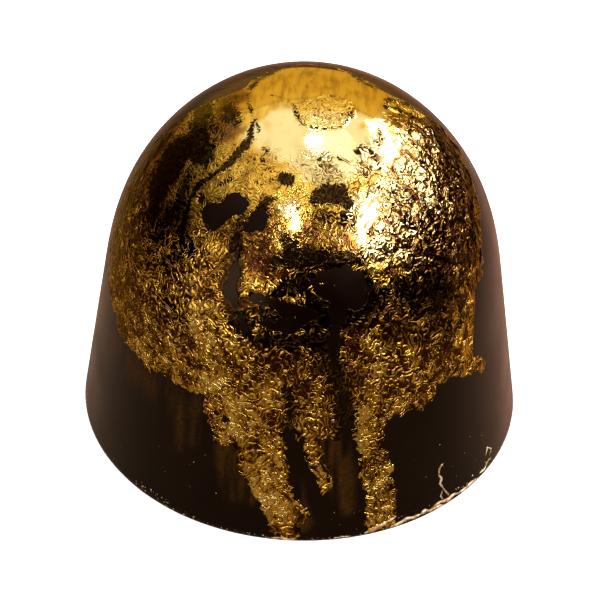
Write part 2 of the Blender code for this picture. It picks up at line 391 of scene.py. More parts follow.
class PralineShape(bpy.types.PropertyGroup):
    """The turned outline, which is the same as the solid's."""

    base_diameter: bpy.props.FloatProperty(
        name="Base diameter",
        description="Where the wall's line would meet the base plane",
        default=29.0 * MM,
        unit="LENGTH",
    )
    height: bpy.props.FloatProperty(
        name="Height", description="From the base plane to the apex", default=CAD_HIGH.z, unit="LENGTH"
    )
    wall_draft: bpy.props.FloatProperty(
        name="Wall draft", description="How far the wall leans in", default=math.radians(9.1), subtype="ANGLE"
    )
    shoulder_height: bpy.props.FloatProperty(
        name="Shoulder height",
        description="Where the wall ends and the crown starts",
        default=11.0 * MM,
        unit="LENGTH",
    )
    crown_fullness: bpy.props.FloatProperty(
        name="Crown fullness", description="2 is an ellipse, and more is squarer", default=2.54
    )
    base_edge_radius: bpy.props.FloatProperty(
        name="Base edge radius", description="The small round at the foot", default=0.25 * MM, unit="LENGTH"
    )
    around: bpy.props.IntProperty(name="Around", description="Facets round the axis", default=600)
    facet: bpy.props.FloatProperty(
        name="Facet", description="Facet length along the outline", default=0.27 * MM, unit="LENGTH"
    )
    sunk: bpy.props.FloatProperty(
        name="Sunk",
        description="How far the shell lies below the solid's skin",
        default=0.05 * MM,
        unit="LENGTH",
    )


class LeafFinish(bpy.types.PropertyGroup):
    """The gold leaf's sheet, its wrinkles and its colours."""

    cells: bpy.props.IntProperty(name="Cells", description="Grid cells across the whole outside", default=900)
    thickness: bpy.props.FloatProperty(
        name="Thickness",
        description="How far the sheet stands off the shell",
        default=0.022 * MM,
        unit="LENGTH",
    )
    stroke_size: bpy.props.FloatProperty(
        name="Stroke size", description="Spacing of the fine wrinkles", default=0.32 * MM, unit="LENGTH"
    )
    stroke_height: bpy.props.FloatProperty(
        name="Stroke height", description="Height of the fine wrinkles", default=0.036 * MM, unit="LENGTH"
    )
    fold_size: bpy.props.FloatProperty(
        name="Fold size", description="Spacing of the crumpled folds", default=1.3 * MM, unit="LENGTH"
    )
    fold_slope: bpy.props.FloatProperty(
        name="Fold slope", description="Steepness of the crumpled folds, as rise over run", default=0.18
    )
    colour: bpy.props.FloatVectorProperty(
        name="Gold", description="Colour of the leaf", default=(0.93, 0.54, 0.06), subtype="COLOR", size=3
    )
    # Painted highlight: the pale gold laid where the lights reflect and on the brightest wrinkle backs
    highlight_gold: bpy.props.FloatVectorProperty(
        name="Pale gold",
        description="Colour of the polished front",
        default=(1.0, 0.80, 0.33),
        subtype="COLOR",
        size=3,
    )
    # Brown is partly the thin leaf's own colour and partly painted shade beside the wrinkles; Shade is
    # painted shade in the deepest grooves and creases
    brown: bpy.props.FloatVectorProperty(
        name="Brown",
        description="Colour between the wrinkles",
        default=(0.34, 0.155, 0.014),
        subtype="COLOR",
        size=3,
    )
    shade: bpy.props.FloatVectorProperty(
        name="Shade",
        description="Colour in the deepest creases",
        default=(0.06, 0.015, 0.002),
        subtype="COLOR",
        size=3,
    )
    worn_colour: bpy.props.FloatVectorProperty(
        name="Worn",
        description="Colour where the leaf is rubbed thin",
        default=(0.024, 0.010, 0.003),
        subtype="COLOR",
        size=3,
    )
    crease_colour: bpy.props.FloatVectorProperty(
        name="Crease",
        description="Colour of the wrinkles in worn leaf",
        default=(0.15, 0.085, 0.020),
        subtype="COLOR",
        size=3,
    )


class StageLook(bpy.types.PropertyGroup):
    """The camera's place, its lens and its turn."""

    elevation: bpy.props.FloatProperty(
        name="Elevation",
        description="Camera's height above the horizon",
        default=math.radians(37.78),
        subtype="ANGLE",
    )
    distance: bpy.props.FloatProperty(
        name="Distance", description="From the camera to the praline's middle", default=0.1305, unit="LENGTH"
    )
    lens: bpy.props.FloatProperty(name="Lens", description="Focal length in millimetres", default=122.3)
    tilt: bpy.props.FloatProperty(
        name="Tilt",
        description="The camera's turn about its own line of sight",
        default=math.radians(1.79),
        subtype="ANGLE",
    )


# ------------------------------------------------------------------ the outline and places on it


class Outline:
    """The half outline above the base edge, as tables over the arc, in millimetres."""

    wall_steps = 200
    crown_steps = 1600

    def __init__(self, shape):
        lean = math.tan(shape.wall_draft)
        base_radius = shape.base_diameter / 2 / MM
        shoulder = shape.shoulder_height / MM
        rise = shape.height / MM - shoulder
        wall = np.linspace(0, shoulder, self.wall_steps)
        turn = np.linspace(0, math.pi / 2, self.crown_steps)[1:]
        crown = rise * np.sin(turn) ** (2 / shape.crown_fullness)
        shoulder_radius = base_radius - shoulder * lean
        radius = np.concatenate([base_radius - wall * lean, np.cos(turn) * (shoulder_radius - lean * crown)])
        height = np.concatenate([wall, shoulder + crown])
        self.radius, self.height = radius, height
        self.arc = np.concatenate([[0.0], np.cumsum(np.hypot(np.diff(radius), np.diff(height)))])
        slope_out = np.gradient(radius, self.arc)
        slope_up = np.gradient(height, self.arc)
        length = np.hypot(slope_out, slope_up)
        self.normal_out, self.normal_up = slope_up / length, -slope_out / length
        edge = shape.base_edge_radius / MM
        self.foot = edge * (1 + math.sin(shape.wall_draft)) / math.cos(shape.wall_draft)
        self.foot_angle = shape.wall_draft
        self.foot_radius = edge
        self.base_radius = base_radius
        strip = (radius[1:] + radius[:-1]) / 2 * np.diff(self.arc)
        self.area = np.concatenate([[0.0], np.cumsum(strip)])

    def at(self, arc):
        """Radius, height and the normal's outward and upward parts at an arc."""
        tables = (self.radius, self.height, self.normal_out, self.normal_up)
        return [np.interp(arc, self.arc, table) for table in tables]

    def place(self, azimuth, arc):
        """Points on the outside, in millimetres, and the normals there. azimuth is in degrees."""
        radius, height, out, up = self.at(arc)
        side, front = np.sin(np.radians(azimuth)), -np.cos(np.radians(azimuth))
        points = np.stack([radius * side, radius * front, height + 0 * side], axis=-1)
        normals = np.stack([out * side, out * front, up + 0 * side], axis=-1)
        return points, normals

    def from_square(self, across, up):
        """Azimuth and arc for a square of side 2 that is drawn over the whole outside with equal areas."""
        wide = np.abs(across) >= np.abs(up)
        reach = np.where(wide, across, up)
        other = np.where(wide, up, across)
        ratio = np.divide(other, reach, out=np.zeros_like(reach), where=reach != 0)
        angle = np.where(wide, math.pi / 4 * ratio, math.pi / 2 - math.pi / 4 * ratio)
        x, y = reach * np.cos(angle), reach * np.sin(angle)
        azimuth = np.degrees(np.arctan2(x, -y))
        lowest = np.interp(self.foot, self.arc, self.area)
        left = self.area[-1] - np.minimum(reach**2, 1) * (self.area[-1] - lowest)
        return azimuth, np.interp(left, self.area, self.arc)


def cloud(points, size, seed):
    """Smooth random values from -1 to 1 at points, with lumps about size across."""
    side = 32
    above_zero = 100
    table = np.random.default_rng(seed).uniform(-1, 1, (side, side, side))
    spot = points / size + above_zero
    cell = np.floor(spot).astype(int)
    share = spot - cell
    share = share * share * (3 - 2 * share)
    total = np.zeros(len(points))
    for corner in itertools.product((0, 1), repeat=3):
        weight = np.prod(np.where(corner, share, 1 - share), axis=1)
        x, y, z = ((cell + corner) % side).T
        total += weight * table[x, y, z]
    return total


def clouds(points, *layers):
    """A sum of clouds, each given as (strength, size, seed)."""
    return sum(strength * cloud(points, size, seed) for strength, size, seed in layers)


def inside_chain(points, outline, chain, reach=2.5, longest=1.5):
    """How far points lie inside a chain of (azimuth, arc, half width), in millimetres.

    Outside is negative, and points farther out than reach all get -reach. The chain is followed in steps
    that are no longer than longest.
    """
    chain = np.array(chain, float)
    depth = np.full(len(points), -float(reach))
    for start, end in zip(chain, chain[1:]):
        ends, _ = outline.place(np.array([start[0], end[0]]), np.array([start[1], end[1]]))
        steps = max(1, int(np.ceil(np.linalg.norm(ends[1] - ends[0]) / longest)))
        knots = start + (end - start) * np.linspace(0, 1, steps + 1)[:, None]
        spots, _ = outline.place(knots[:, 0], knots[:, 1])
        room = reach + knots[:, 2].max()
        near = ((points > spots.min(axis=0) - room) & (points < spots.max(axis=0) + room)).all(axis=1)
        close = points[near]
        best = depth[near]
        for a, b, wide_a, wide_b in zip(spots, spots[1:], knots[:, 2], knots[1:, 2]):
            line = b - a
            share = np.clip((close - a) @ line / max(line @ line, 1e-9), 0, 1)
            gap = np.linalg.norm(close - a - share[:, None] * line, axis=1)
            best = np.maximum(best, wide_a + share * (wide_b - wide_a) - gap)
        depth[near] = best
    return depth


def along_chain(chain, places):
    """A chain's azimuths, arcs and half widths at places that are counted in its own points."""
    return [np.interp(places, range(len(chain)), column) for column in np.array(chain, float).T]


def smoothstep(value, low, high):
    """0 below low, 1 above high, and a smooth rise between."""
    share = np.clip((value - low) / (high - low), 0, 1)
    return share * share * (3 - 2 * share)


# ------------------------------------------------------------------ node helpers


class Number:
    """What a node gives out. Sums and products of Numbers add the maths nodes that work them out."""

    def __init__(self, tree, socket):
        self.tree = tree
        self.socket = socket

    def __add__(self, other):
        return maths(self.tree, "ADD", self, other)

    def __sub__(self, other):
        return maths(self.tree, "SUBTRACT", self, other)

    def __mul__(self, other):
        return maths(self.tree, "MULTIPLY", self, other)

    def __truediv__(self, other):
        return maths(self.tree, "DIVIDE", self, other)

    def __radd__(self, other):
        return maths(self.tree, "ADD", other, self)

    def __rsub__(self, other):
        return maths(self.tree, "SUBTRACT", other, self)

    def __rmul__(self, other):
        return maths(self.tree, "MULTIPLY", other, self)

    def __rtruediv__(self, other):
        return maths(self.tree, "DIVIDE", other, self)


class Arrow(Number):
    """A vector that a node gives out, which can be scaled, and moved by another vector."""

    def __add__(self, other):
        return vectors(self.tree, "ADD", self, other)

    def __sub__(self, other):
        return vectors(self.tree, "SUBTRACT", self, other)

    def __mul__(self, other):
        return vectors(self.tree, "SCALE", self, other)


def fill(tree, node, inputs):
    """Sets a node's inputs to values, or links other nodes' outputs to them."""
    for key, value in inputs.items():
        value = getattr(value, "socket", value)
        if isinstance(value, bpy.types.NodeSocket):
            tree.links.new(value, node.inputs[key])
        else:
            node.inputs[key].default_value = value


def put(tree, kind, inputs=None, **settings):
    """Adds a node, sets its options, and fills its inputs with values or with other nodes' outputs."""
    node = tree.nodes.new(kind)
    for name, value in settings.items():
        setattr(node, name, value)
    fill(tree, node, inputs or {})
    return node


def maths(tree, operation, *values):
    return Number(tree, put(tree, "ShaderNodeMath", dict(enumerate(values)), operation=operation).outputs[0])


def vectors(tree, operation, *values):
    """A vector maths node. SCALE takes a vector and a number."""
    keys = (0, "Scale") if operation == "SCALE" else range(len(values))
    node = put(tree, "ShaderNodeVectorMath", dict(zip(keys, values)), operation=operation)
    return Arrow(tree, node.outputs[0])


def dot(tree, first, second):
    node = put(tree, "ShaderNodeVectorMath", {0: first, 1: second}, operation="DOT_PRODUCT")
    return Number(tree, node.outputs["Value"])


def axes(tree, vector):
    """A vector's three parts."""
    return [Number(tree, part) for part in put(tree, "ShaderNodeSeparateXYZ", {0: vector}).outputs]


def ease(tree, value, low, high, to_low=0.0, to_high=1.0):
    """A smooth step of value from low to high."""
    inputs = {"Value": value, "From Min": low, "From Max": high, "To Min": to_low, "To Max": to_high}
    return Number(tree, put(tree, "ShaderNodeMapRange", inputs, interpolation_type="SMOOTHSTEP").outputs[0])


def noise_outputs(tree, vector, scale, seed, detail):
    inputs = {"Vector": vector, "Scale": scale, "Detail": detail, "W": seed}
    return put(tree, "ShaderNodeTexNoise", inputs, noise_dimensions="4D").outputs


def noise(tree, vector, scale, seed=0.0, detail=0.0):
    """Smooth random values from 0 to 1."""
    return Number(tree, noise_outputs(tree, vector, scale, seed, detail)[0])


def drift(tree, vector, scale, seed=0.0, detail=0.0):
    """Smooth random vectors whose parts run from -0.5 to 0.5."""
    return Arrow(tree, noise_outputs(tree, vector, scale, seed, detail)[1]) - HALF


def stored(tree, name, kind=Number):
    """A number or an arrow that is stored at the mesh's points, for either sort of tree."""
    if tree.type == "SHADER":
        node = put(tree, "ShaderNodeAttribute", attribute_name=name)
        return kind(tree, node.outputs["Vector" if kind is Arrow else "Fac"])
    data_type = "FLOAT_VECTOR" if kind is Arrow else "FLOAT"
    node = put(tree, "GeometryNodeInputNamedAttribute", {"Name": name}, data_type=data_type)
    return kind(tree, node.outputs[0])


def strokes(tree, spot, outward, lying, size, patch_size, seed):
    """A wave over short bent strokes that run another way in each patch, and where there are strokes at all.

    The wave is 1 along a stroke's back and 0 between two strokes. The larger lying is, the more strokes
    lie level.
    """
    bend_size, gap_size = 1.3, 1.2
    above_zero = 40.25
    bent = spot + drift(tree, spot, 1 / bend_size / size, seed + 1.0) * (size * patch_size)
    patch = put(tree, "ShaderNodeTexVoronoi", {"Vector": bent, "Scale": 1 / patch_size / size}).outputs
    level_way = vectors(tree, "CROSS_PRODUCT", (0.0, 0.0, 1.0), outward) * lying
    aside = Arrow(tree, patch["Color"]) - HALF + level_way
    across = vectors(tree, "NORMALIZE", vectors(tree, "CROSS_PRODUCT", outward, aside))
    wider = ease(tree, patch["Color"], 0.2, 0.8, 0.75, 1.3)
    count = dot(tree, bent - patch["Position"], across) / size * wider + above_zero
    wave = maths(tree, "PINGPONG", count, 0.5) * 2.0
    return wave, ease(tree, noise(tree, spot, 1 / gap_size / size, seed + 5.0), 0.30, 0.42)


def crinkles(tree, spot, outward, lying, fine, size, seed):
    """The backs of the strokes, and the grooves beside them. They are narrower where fine is 1."""
    layers = []
    for share, patch_size, extra, groove_width in ((1.0, 4.0, 0.0, 0.36), (0.7, 3.0, 7.0, 0.28)):
        wave, there = strokes(tree, spot, outward, lying, size * share, patch_size, seed + extra)
        layers.append((ease(tree, wave, 0.45, 1.0) * there, ease(tree, wave, groove_width, 0.04) * there))
    return [coarse + (narrow - coarse) * fine for coarse, narrow in zip(*layers)]


def foil(tree, spot, size, seed):
    """Where to look up the facets of crumpled foil: for full-size and for finer ones, a place and a width."""
    bend = 1.1 * MM
    bent = spot + drift(tree, spot, BENDS, seed, 2.0) * bend
    return [(bent + (shift, 0.0, 0.0), size * share) for share, shift in ((1.0, 0.1), (0.55, 0.3))]


def folds(tree, facets):
    """How far a place is from the bent creases between facets."""
    distances = []
    for place, width in facets:
        inputs = {"Vector": place, "Scale": 1.0 / width}
        cell = put(tree, "ShaderNodeTexVoronoi", inputs, feature="DISTANCE_TO_EDGE")
        distances.append(Number(tree, cell.outputs["Distance"]) * width)
    return distances


def facet_light_and_shade(tree, facets):
    """A random value from 0 to 1 for each facet, which paints the facets lighter or darker as though each
    faced the light at its own angle: painted light and shade.
    """
    shades = []
    for place, width in facets:
        cell = put(tree, "ShaderNodeTexVoronoi", {"Vector": place, "Scale": 1.0 / width})
        shades.append(axes(tree, cell.outputs["Color"])[0])
    return shades


def geometry_tree(name, sizes):
    """A Geometry Nodes tree that has a named input for each size and for the material, and those inputs."""
    tree = bpy.data.node_groups.new(name, "GeometryNodeTree")
    for label, kind in {"Geometry": "Geometry", **sizes, "Material": "Material"}.items():
        tree.interface.new_socket(label, in_out="INPUT", socket_type="NodeSocket" + kind)
    tree.interface.new_socket("Geometry", in_out="OUTPUT", socket_type="NodeSocketGeometry")
    start = tree.nodes.new("NodeGroupInput")
    return tree, {socket.name: Number(tree, socket) for socket in start.outputs if socket.name}


def close_tree(tree, value, geometry):
    """Ends a tree in Realize Instances and Set Material."""
    realized = put(tree, "GeometryNodeRealizeInstances", {"Geometry": geometry}).outputs[0]
    inputs = {"Geometry": realized, "Material": value["Material"]}
    painted = put(tree, "GeometryNodeSetMaterial", inputs).outputs[0]
    put(tree, "NodeGroupOutput", {"Geometry": painted})


def through_tree(obj, tree, values):
    """Sets the tree's inputs on a modifier, evaluates it, and puts the plain result on the object."""
    modifier = obj.modifiers.new(tree.name, "NODES")
    modifier.node_group = tree
    for item in tree.interface.items_tree:
        if item.in_out == "INPUT" and item.name in values:
            modifier[item.identifier] = values[item.name]
    bpy.context.view_layer.update()
    depsgraph = bpy.context.evaluated_depsgraph_get()
    evaluated = obj.evaluated_get(depsgraph)
    mesh = bpy.data.meshes.new_from_object(evaluated, preserve_all_data_layers=True, depsgraph=depsgraph)
    mesh.name = obj.name
    obj.modifiers.clear()
    old = obj.data
    obj.data = mesh
    bpy.data.meshes.remove(old)


# ------------------------------------------------------------------ objects and meshes


def add_object(name, mesh):
    obj = bpy.data.objects.new(name, mesh)
    bpy.context.scene.collection.objects.link(obj)
    return obj


def ride_root(obj):
    """Fixes a finished piece to the only body."""
    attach(obj, BODY)


def read_points(mesh):
    """A mesh's points, in millimetres."""
    points = np.empty(len(mesh.vertices) * 3)
    mesh.vertices.foreach_get("co", points)
    return points.reshape(-1, 3) / MM


def store(mesh, name, values):
    """Stores a number, or a vector, at each of a mesh's points."""
    kind, key = ("FLOAT", "value") if values.ndim == 1 else ("FLOAT_VECTOR", "vector")
    mesh.attributes.new(name, kind, "POINT").data.foreach_set(key, values.astype(np.float32).ravel())


def signed_volume(mesh):
    """Positive where the faces point outwards."""
    mesh.calc_loop_triangles()
    corners = np.empty(len(mesh.loop_triangles) * 3, int)
    mesh.loop_triangles.foreach_get("vertices", corners)
    points = np.empty(len(mesh.vertices) * 3)
    mesh.vertices.foreach_get("co", points)
    a, b, c = points.reshape(-1, 3)[corners.reshape(-1, 3)].transpose(1, 0, 2)
    return float(np.einsum("ij,ij->i", a, np.cross(b, c)).sum() / 6)


# ------------------------------------------------------------------ materials


def material(name):
    made = bpy.data.materials.new(name)
    made.use_nodes = True
    return made, made.node_tree, made.node_tree.nodes["Principled BSDF"]


def object_place(tree):
    return put(tree, "ShaderNodeTexCoord").outputs["Object"]


def blend(tree, share, low, high):
    """A colour between two colours, each a triple or a node's output."""
    ends = {}
    for name, colour in (("A", low), ("B", high)):
        ends[name] = colour if isinstance(colour, bpy.types.NodeSocket) else (*colour, 1)
    return put(tree, "ShaderNodeMix", {"Factor": share, **ends}, data_type="RGBA").outputs["Result"]


def leaf_brightness(tree, leaf, finish):
    """Painted highlight on the wrinkles' backs and on some facets, painted shade in the grooves and creases,
    over the leaf's own tone and mottling.
    """
    # Painted light and shade from the wrinkles: lighter on their backs, darker in the grooves
    relief_shading = (leaf.back * (0.85 - leaf.fine * 0.6) - leaf.groove * (0.62 + leaf.fine * 0.33)) * leaf.plain
    facets = foil(tree, leaf.place, finish.fold_size, LEAF_SEED)
    fold, finer = folds(tree, facets)
    # Each facet painted lighter or darker, as if turned towards or away from the light
    wide_facet_light, fine_facet_light = facet_light_and_shade(tree, facets)
    shade = (wide_facet_light + fine_facet_light - 1.0) * leaf.plain * ease(tree, leaf.folding, 0.0, 1.0, 0.2, 0.36)
    # Painted shade along the creases between the facets
    fine_crease = ease(tree, finer, 0.0, 0.05 * MM, 1.0, 0.0) * 0.7
    crease = maths(tree, "MAXIMUM", ease(tree, fold, 0.01 * MM, 0.07 * MM, 1.0, 0.0), fine_crease)
    crease = crease * leaf.folding * leaf.plain
    relief_shading = relief_shading * (1.0 - leaf.folding * 0.3) - crease * 0.75
    mottled = ease(tree, leaf.stain, 0.35, 0.65, -0.25, 0.2) * (leaf.plain + 0.28) * (1.0 - leaf.fine * 0.5)
    along = vectors(tree, "MULTIPLY", leaf.place, (1.0, 0.22, 1.0))
    streaks = ease(tree, noise(tree, along, STREAKS, LEAF_SEED, 3.0), 0.33, 0.62, -0.17, 0.04)
    return leaf.tone + relief_shading + (mottled + shade) + streaks * (1.0 - leaf.pale) * leaf.polish


def leaf_colour(tree, leaf, finish):
    """From painted shade in the deep creases through brown to gold, and palest where pale gold is painted as
    highlight: on the polished front and on the brightest wrinkle backs.
    """
    bright = leaf_brightness(tree, leaf, finish)
    # Paler gold on the brightest places, as a painted highlight
    painted_highlight = ease(tree, bright, 0.85, 1.7, 0.0, 0.75) * (1.0 - leaf.satin * 0.15)
    gold = blend(tree, maths(tree, "MAXIMUM", leaf.pale, painted_highlight), finish.colour, finish.highlight_gold)
    dull = blend(tree, ease(tree, bright, 0.0, 0.5), finish.shade, finish.brown)
    return blend(tree, ease(tree, bright, 0.4, 0.95), dull, gold)


def leaf_rubbed(tree, leaf):
    """1 where the chocolate shows through: in worn places, along the torn edge, and first in the grooves."""
    torn = ease(tree, leaf.edge + (leaf.stain - 0.5) * 0.9, 0.22, 0.0)
    rubbed = maths(tree, "MAXIMUM", leaf.worn, torn * 0.8)
    lines = leaf.groove * 0.35 - leaf.back * 0.55
    lines = lines * ease(tree, rubbed, 0.85, 1.0, 1.0, 0.38) * ease(tree, rubbed, 0.0, 0.2)
    return ease(tree, rubbed + lines, 0.25, 0.75)


def leaf_bump(tree, leaf):
    """Crisp backs on the wrinkles, over a fine grain."""
    sharp = (0.02 * MM + leaf.satin * (0.015 * MM)) * (1.0 - leaf.fine * 0.8)
    crisp = leaf.back * sharp * leaf.plain * (1.0 - leaf.worn * 0.6)
    grain = noise(tree, leaf.place, GRAIN, LEAF_SEED, 3.0) * (0.001 * MM + leaf.plain * (0.005 * MM))
    return put(tree, "ShaderNodeBump", {"Strength": 1.0, "Distance": 1.0, "Height": crisp + grain}).outputs[0]


def gold_material(finish):
    """Leaf with painted highlights on the wrinkles' backs, brown and painted shade between them, and rubbed
    thin in places.
    """
    made, tree, shader = material("gold_leaf")
    leaf = SimpleNamespace(**{name: stored(tree, name) for name in PAINT_VALUES})
    leaf.place = stored(tree, "place", Arrow)
    leaf.plain = 1.0 - leaf.polish
    leaf.stain = noise(tree, leaf.place, STAINS, LEAF_SEED, 3.0)
    outward, lying = stored(tree, "outward", Arrow), leaf.satin * LYING
    wrinkles = crinkles(tree, leaf.place, outward, lying, leaf.fine, finish.stroke_size, LEAF_SEED)
    leaf.back, leaf.groove = wrinkles
    rubbed = leaf_rubbed(tree, leaf)
    bare = blend(tree, leaf.back * 0.6, finish.worn_colour, finish.crease_colour)
    smooth = maths(tree, "MAXIMUM", leaf.pale, leaf.polish)
    rough = ease(tree, smooth, 0.0, 1.0, 0.24, 0.13) + leaf.satin * 0.03 - leaf.polish * 0.06 - rubbed * 0.09
    bump = leaf_bump(tree, leaf)
    looks = {
        "Base Color": blend(tree, rubbed, leaf_colour(tree, leaf, finish), bare),
        "Metallic": 1.0,
        "Roughness": rough,
        "Specular Tint": (1.0, 0.85, 0.5, 1),
        "Normal": bump,
        "Coat Weight": ease(tree, rubbed, 0.0, 1.0, 0.14, 0.02) * ease(tree, leaf.satin, 0.0, 1.0, 1.0, 0.5),
        "Coat Roughness": 0.08,
        "Coat Normal": bump,
    }
    fill(tree, shader, looks)
    return made


def chocolate_material():
    """Tempered dark chocolate: glossy, with faint clouds and a film of gold dust in places."""
    made, tree, shader = material("dark_chocolate")
    place = object_place(tree)
    cloudy = noise(tree, place, CLOUDS, 1.0, 3.0)
    chocolate = blend(tree, ease(tree, cloudy, 0.35, 0.7), CHOCOLATE, CLOUDED_CHOCOLATE)
    speckle = ease(tree, noise(tree, place, SPECKLES, 3.0, 2.0), 0.40, 0.62)
    dust = stored(tree, "dust") * (0.45 + speckle * 0.55)
    looks = {
        "Base Color": blend(tree, dust, chocolate, DUST_COLOUR),
        "Metallic": dust * 0.8,
        "Roughness": ease(tree, cloudy, 0.3, 0.7, 0.22, 0.32),
        "IOR": 1.27,
        "Specular Tint": (1.0, 0.68, 0.48, 1),
    }
    fill(tree, shader, looks)
    return made


def scrap_material():
    """Loose scraps of leaf, paler than the sheet, in random patches up to a near-white painted glint; their
    pallor is partly their own pale gold and partly painted highlight.
    """
    made, tree, shader = material("gold_scraps")
    cloudy = ease(tree, noise(tree, object_place(tree), SCRAP_PATCHES, 5.0, 2.0), 0.35, 0.62)
    colour = blend(tree, cloudy, SCRAP_SHADE, SCRAP_GLINT)
    fill(tree, shader, {"Base Color": colour, "Metallic": 0.35, "Roughness": 0.35})
    return made


def floor_material():
    """A pale floor that stays light where little light falls."""
    made, tree, shader = material("floor")
    looks = {
        "Base Color": (0.9, 0.9, 0.9, 1),
        "Roughness": 0.9,
        "Specular IOR Level": 0.0,
        "Emission Color": (1, 1, 1, 1),
        "Emission Strength": 0.85,
    }
    fill(tree, shader, looks)
    return made


# ------------------------------------------------------------------ the chocolate body


def body_outline(outline, sunk):
    """The closed half outline in millimetres, from the middle of the base to the apex."""
    base_steps, foot_steps, side_steps = 60, 7, 600
    centre = outline.base_radius - outline.foot
    angles = np.linspace(-math.pi / 2, outline.foot_angle, foot_steps)
    foot_out = centre - sunk + outline.foot_radius * np.cos(angles)
    foot_up = outline.foot_radius * (1 + np.sin(angles))
    arc = np.linspace(outline.foot, outline.arc[-1], side_steps)[1:]
    radius, height, out, up = outline.at(arc)
    radius = np.maximum(radius - sunk * out, 0)
    radius[-1] = 0
    base = np.linspace(0, centre - sunk, base_steps)[:-1]
    across = np.concatenate([base, foot_out, radius])
    level = np.concatenate([0 * base, foot_up, height - sunk * up])
    return across, level


def even_steps(across, level, step):
    """The same line with even steps."""
    run = np.concatenate([[0.0], np.cumsum(np.hypot(np.diff(across), np.diff(level)))])
    even = np.linspace(0, run[-1], int(round(run[-1] / step)) + 1)
    return np.interp(even, run, across), np.interp(even, run, level)


def turned_tree():
    """Turns the outline about +Z into a closed skin, with the slight unevenness of moulded chocolate."""
    sizes = dict.fromkeys(("Spindle", "Unevenness", "Lump Size", "Seed"), "Float")
    tree, value = geometry_tree("turned body", {"Around": "Int", **sizes})
    line = put(tree, "GeometryNodeMeshToCurve", {"Mesh": value["Geometry"]}).outputs[0]
    inputs = {"Resolution": value["Around"], "Radius": value["Spindle"]}
    ring = put(tree, "GeometryNodeCurvePrimitiveCircle", inputs).outputs[0]
    skin = put(tree, "GeometryNodeCurveToMesh", {"Curve": ring, "Profile Curve": line}).outputs[0]
    skin = put(tree, "GeometryNodeMergeByDistance", {"Geometry": skin, "Distance": 1e-7}).outputs[0]
    spot = put(tree, "GeometryNodeInputPosition").outputs[0]
    lump = noise(tree, spot, 1.0 / value["Lump Size"], value["Seed"], 2.0)
    above_foot = ease(tree, axes(tree, spot)[2], 0.2 * MM, 1.0 * MM)
    swell = (lump - 0.5) * value["Unevenness"] * above_foot
    normal = Arrow(tree, put(tree, "GeometryNodeInputNormal").outputs[0])
    skin = put(tree, "GeometryNodeSetPosition", {"Geometry": skin, "Offset": normal * swell}).outputs[0]
    close_tree(tree, value, put(tree, "GeometryNodeSetShadeSmooth", {0: skin}).outputs[0])
    return tree


def outline_arc(outline, radius, level, near_apex=1.5):
    """The arc of points on the outside, from their distance to the axis and their height, in millimetres."""
    from_level = np.interp(level, outline.height, outline.arc)
    from_radius = np.interp(radius, outline.radius[::-1], outline.arc[::-1])
    return np.where(level > outline.height[-1] - near_apex, from_radius, from_level)


def paint_body_uv(mesh, outline):
    """Unrolls the outside into one disc and the underside into a smaller one, for baking."""
    outside_middle, outside_reach = 0.385, 0.375
    under_middle, under_reach = 0.80, 0.19
    corners = np.empty(len(mesh.loops), int)
    mesh.loops.foreach_get("vertex_index", corners)
    normals = np.empty(len(mesh.polygons) * 3)
    mesh.polygons.foreach_get("normal", normals)
    sizes = np.empty(len(mesh.polygons), int)
    mesh.polygons.foreach_get("loop_total", sizes)
    under = np.repeat(normals.reshape(-1, 3)[:, 2] < -0.7, sizes)
    spot = read_points(mesh)[corners]
    radius = np.hypot(spot[:, 0], spot[:, 1])
    direction = spot[:, :2] / np.maximum(radius, 1e-9)[:, None]
    arc = outline_arc(outline, radius, spot[:, 2])
    area = outline.area[-1] - np.interp(arc, outline.arc, outline.area)
    share = np.sqrt(area / outline.area[-1])
    outside = outside_middle + outside_reach * share[:, None] * direction
    beneath = under_middle + under_reach * (radius / outline.base_radius)[:, None] * direction
    uv = np.where(under[:, None], beneath, outside)
    mesh.uv_layers.new(name="OFBake").data.foreach_set("uv", uv.ravel())


def sprinkle_dust(mesh, outline, lowest=0.3):
    """Marks where gold dust runs down the bare chocolate in streaks, above the lowest height."""
    points = read_points(mesh)
    azimuth = np.degrees(np.arctan2(points[:, 0], -points[:, 1]))
    arc = outline_arc(outline, np.hypot(points[:, 0], points[:, 1]), points[:, 2])
    on_skin, _ = outline.place(azimuth, arc)
    streaked = np.stack([azimuth / 5.0, arc / 8.0, 0 * arc], axis=1)
    streaks = smoothstep(clouds(streaked, (0.6, 0.5, 61), (0.5, 0.22, 62)), -0.45, 0.45)
    dust = np.zeros(len(points))
    for strength, soft, chain in DUST.values():
        depth = inside_chain(on_skin, outline, chain)
        dust = np.maximum(dust, strength * smoothstep(depth, -soft, soft))
    store(mesh, "dust", np.minimum(dust * streaks, 1) * (points[:, 2] > lowest))


class PRALINE_OT_chocolate_body(bpy.types.Operator):
    """Make the dark chocolate body, which stands for the solid"""

    bl_idname = "praline.chocolate_body"
    bl_label = "Chocolate body"

    def execute(self, context):
        shape = context.scene.praline_shape
        outline = Outline(shape)
        spindle = 1.0
        least_volume = 9e-6
        across, level = even_steps(*body_outline(outline, shape.sunk / MM), shape.facet / MM)
        points = [((r - spindle) * MM, -z * MM, 0.0) for r, z in zip(across, level)]
        line = bpy.data.meshes.new("outline")
        line.from_pydata(points, [(n, n + 1) for n in range(len(points) - 1)], [])
        body = add_object("chocolate_body", line)
        values = {
            "Around": shape.around,
            "Spindle": spindle * MM,
            "Unevenness": 0.012 * MM,
            "Lump Size": 1.6 * MM,
            "Seed": 4.0,
            "Material": chocolate_material(),
        }
        through_tree(body, turned_tree(), values)
        if signed_volume(body.data) < 0:
            body.data.flip_normals()
        if signed_volume(body.data) < least_volume:
            raise RuntimeError(f"the body isn't closed: volume {signed_volume(body.data)}")
        paint_body_uv(body.data, outline)
        sprinkle_dust(body.data, outline)
        ride_root(body)
        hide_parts("praline")
        return {"FINISHED"}


# ------------------------------------------------------------------ the gold leaf


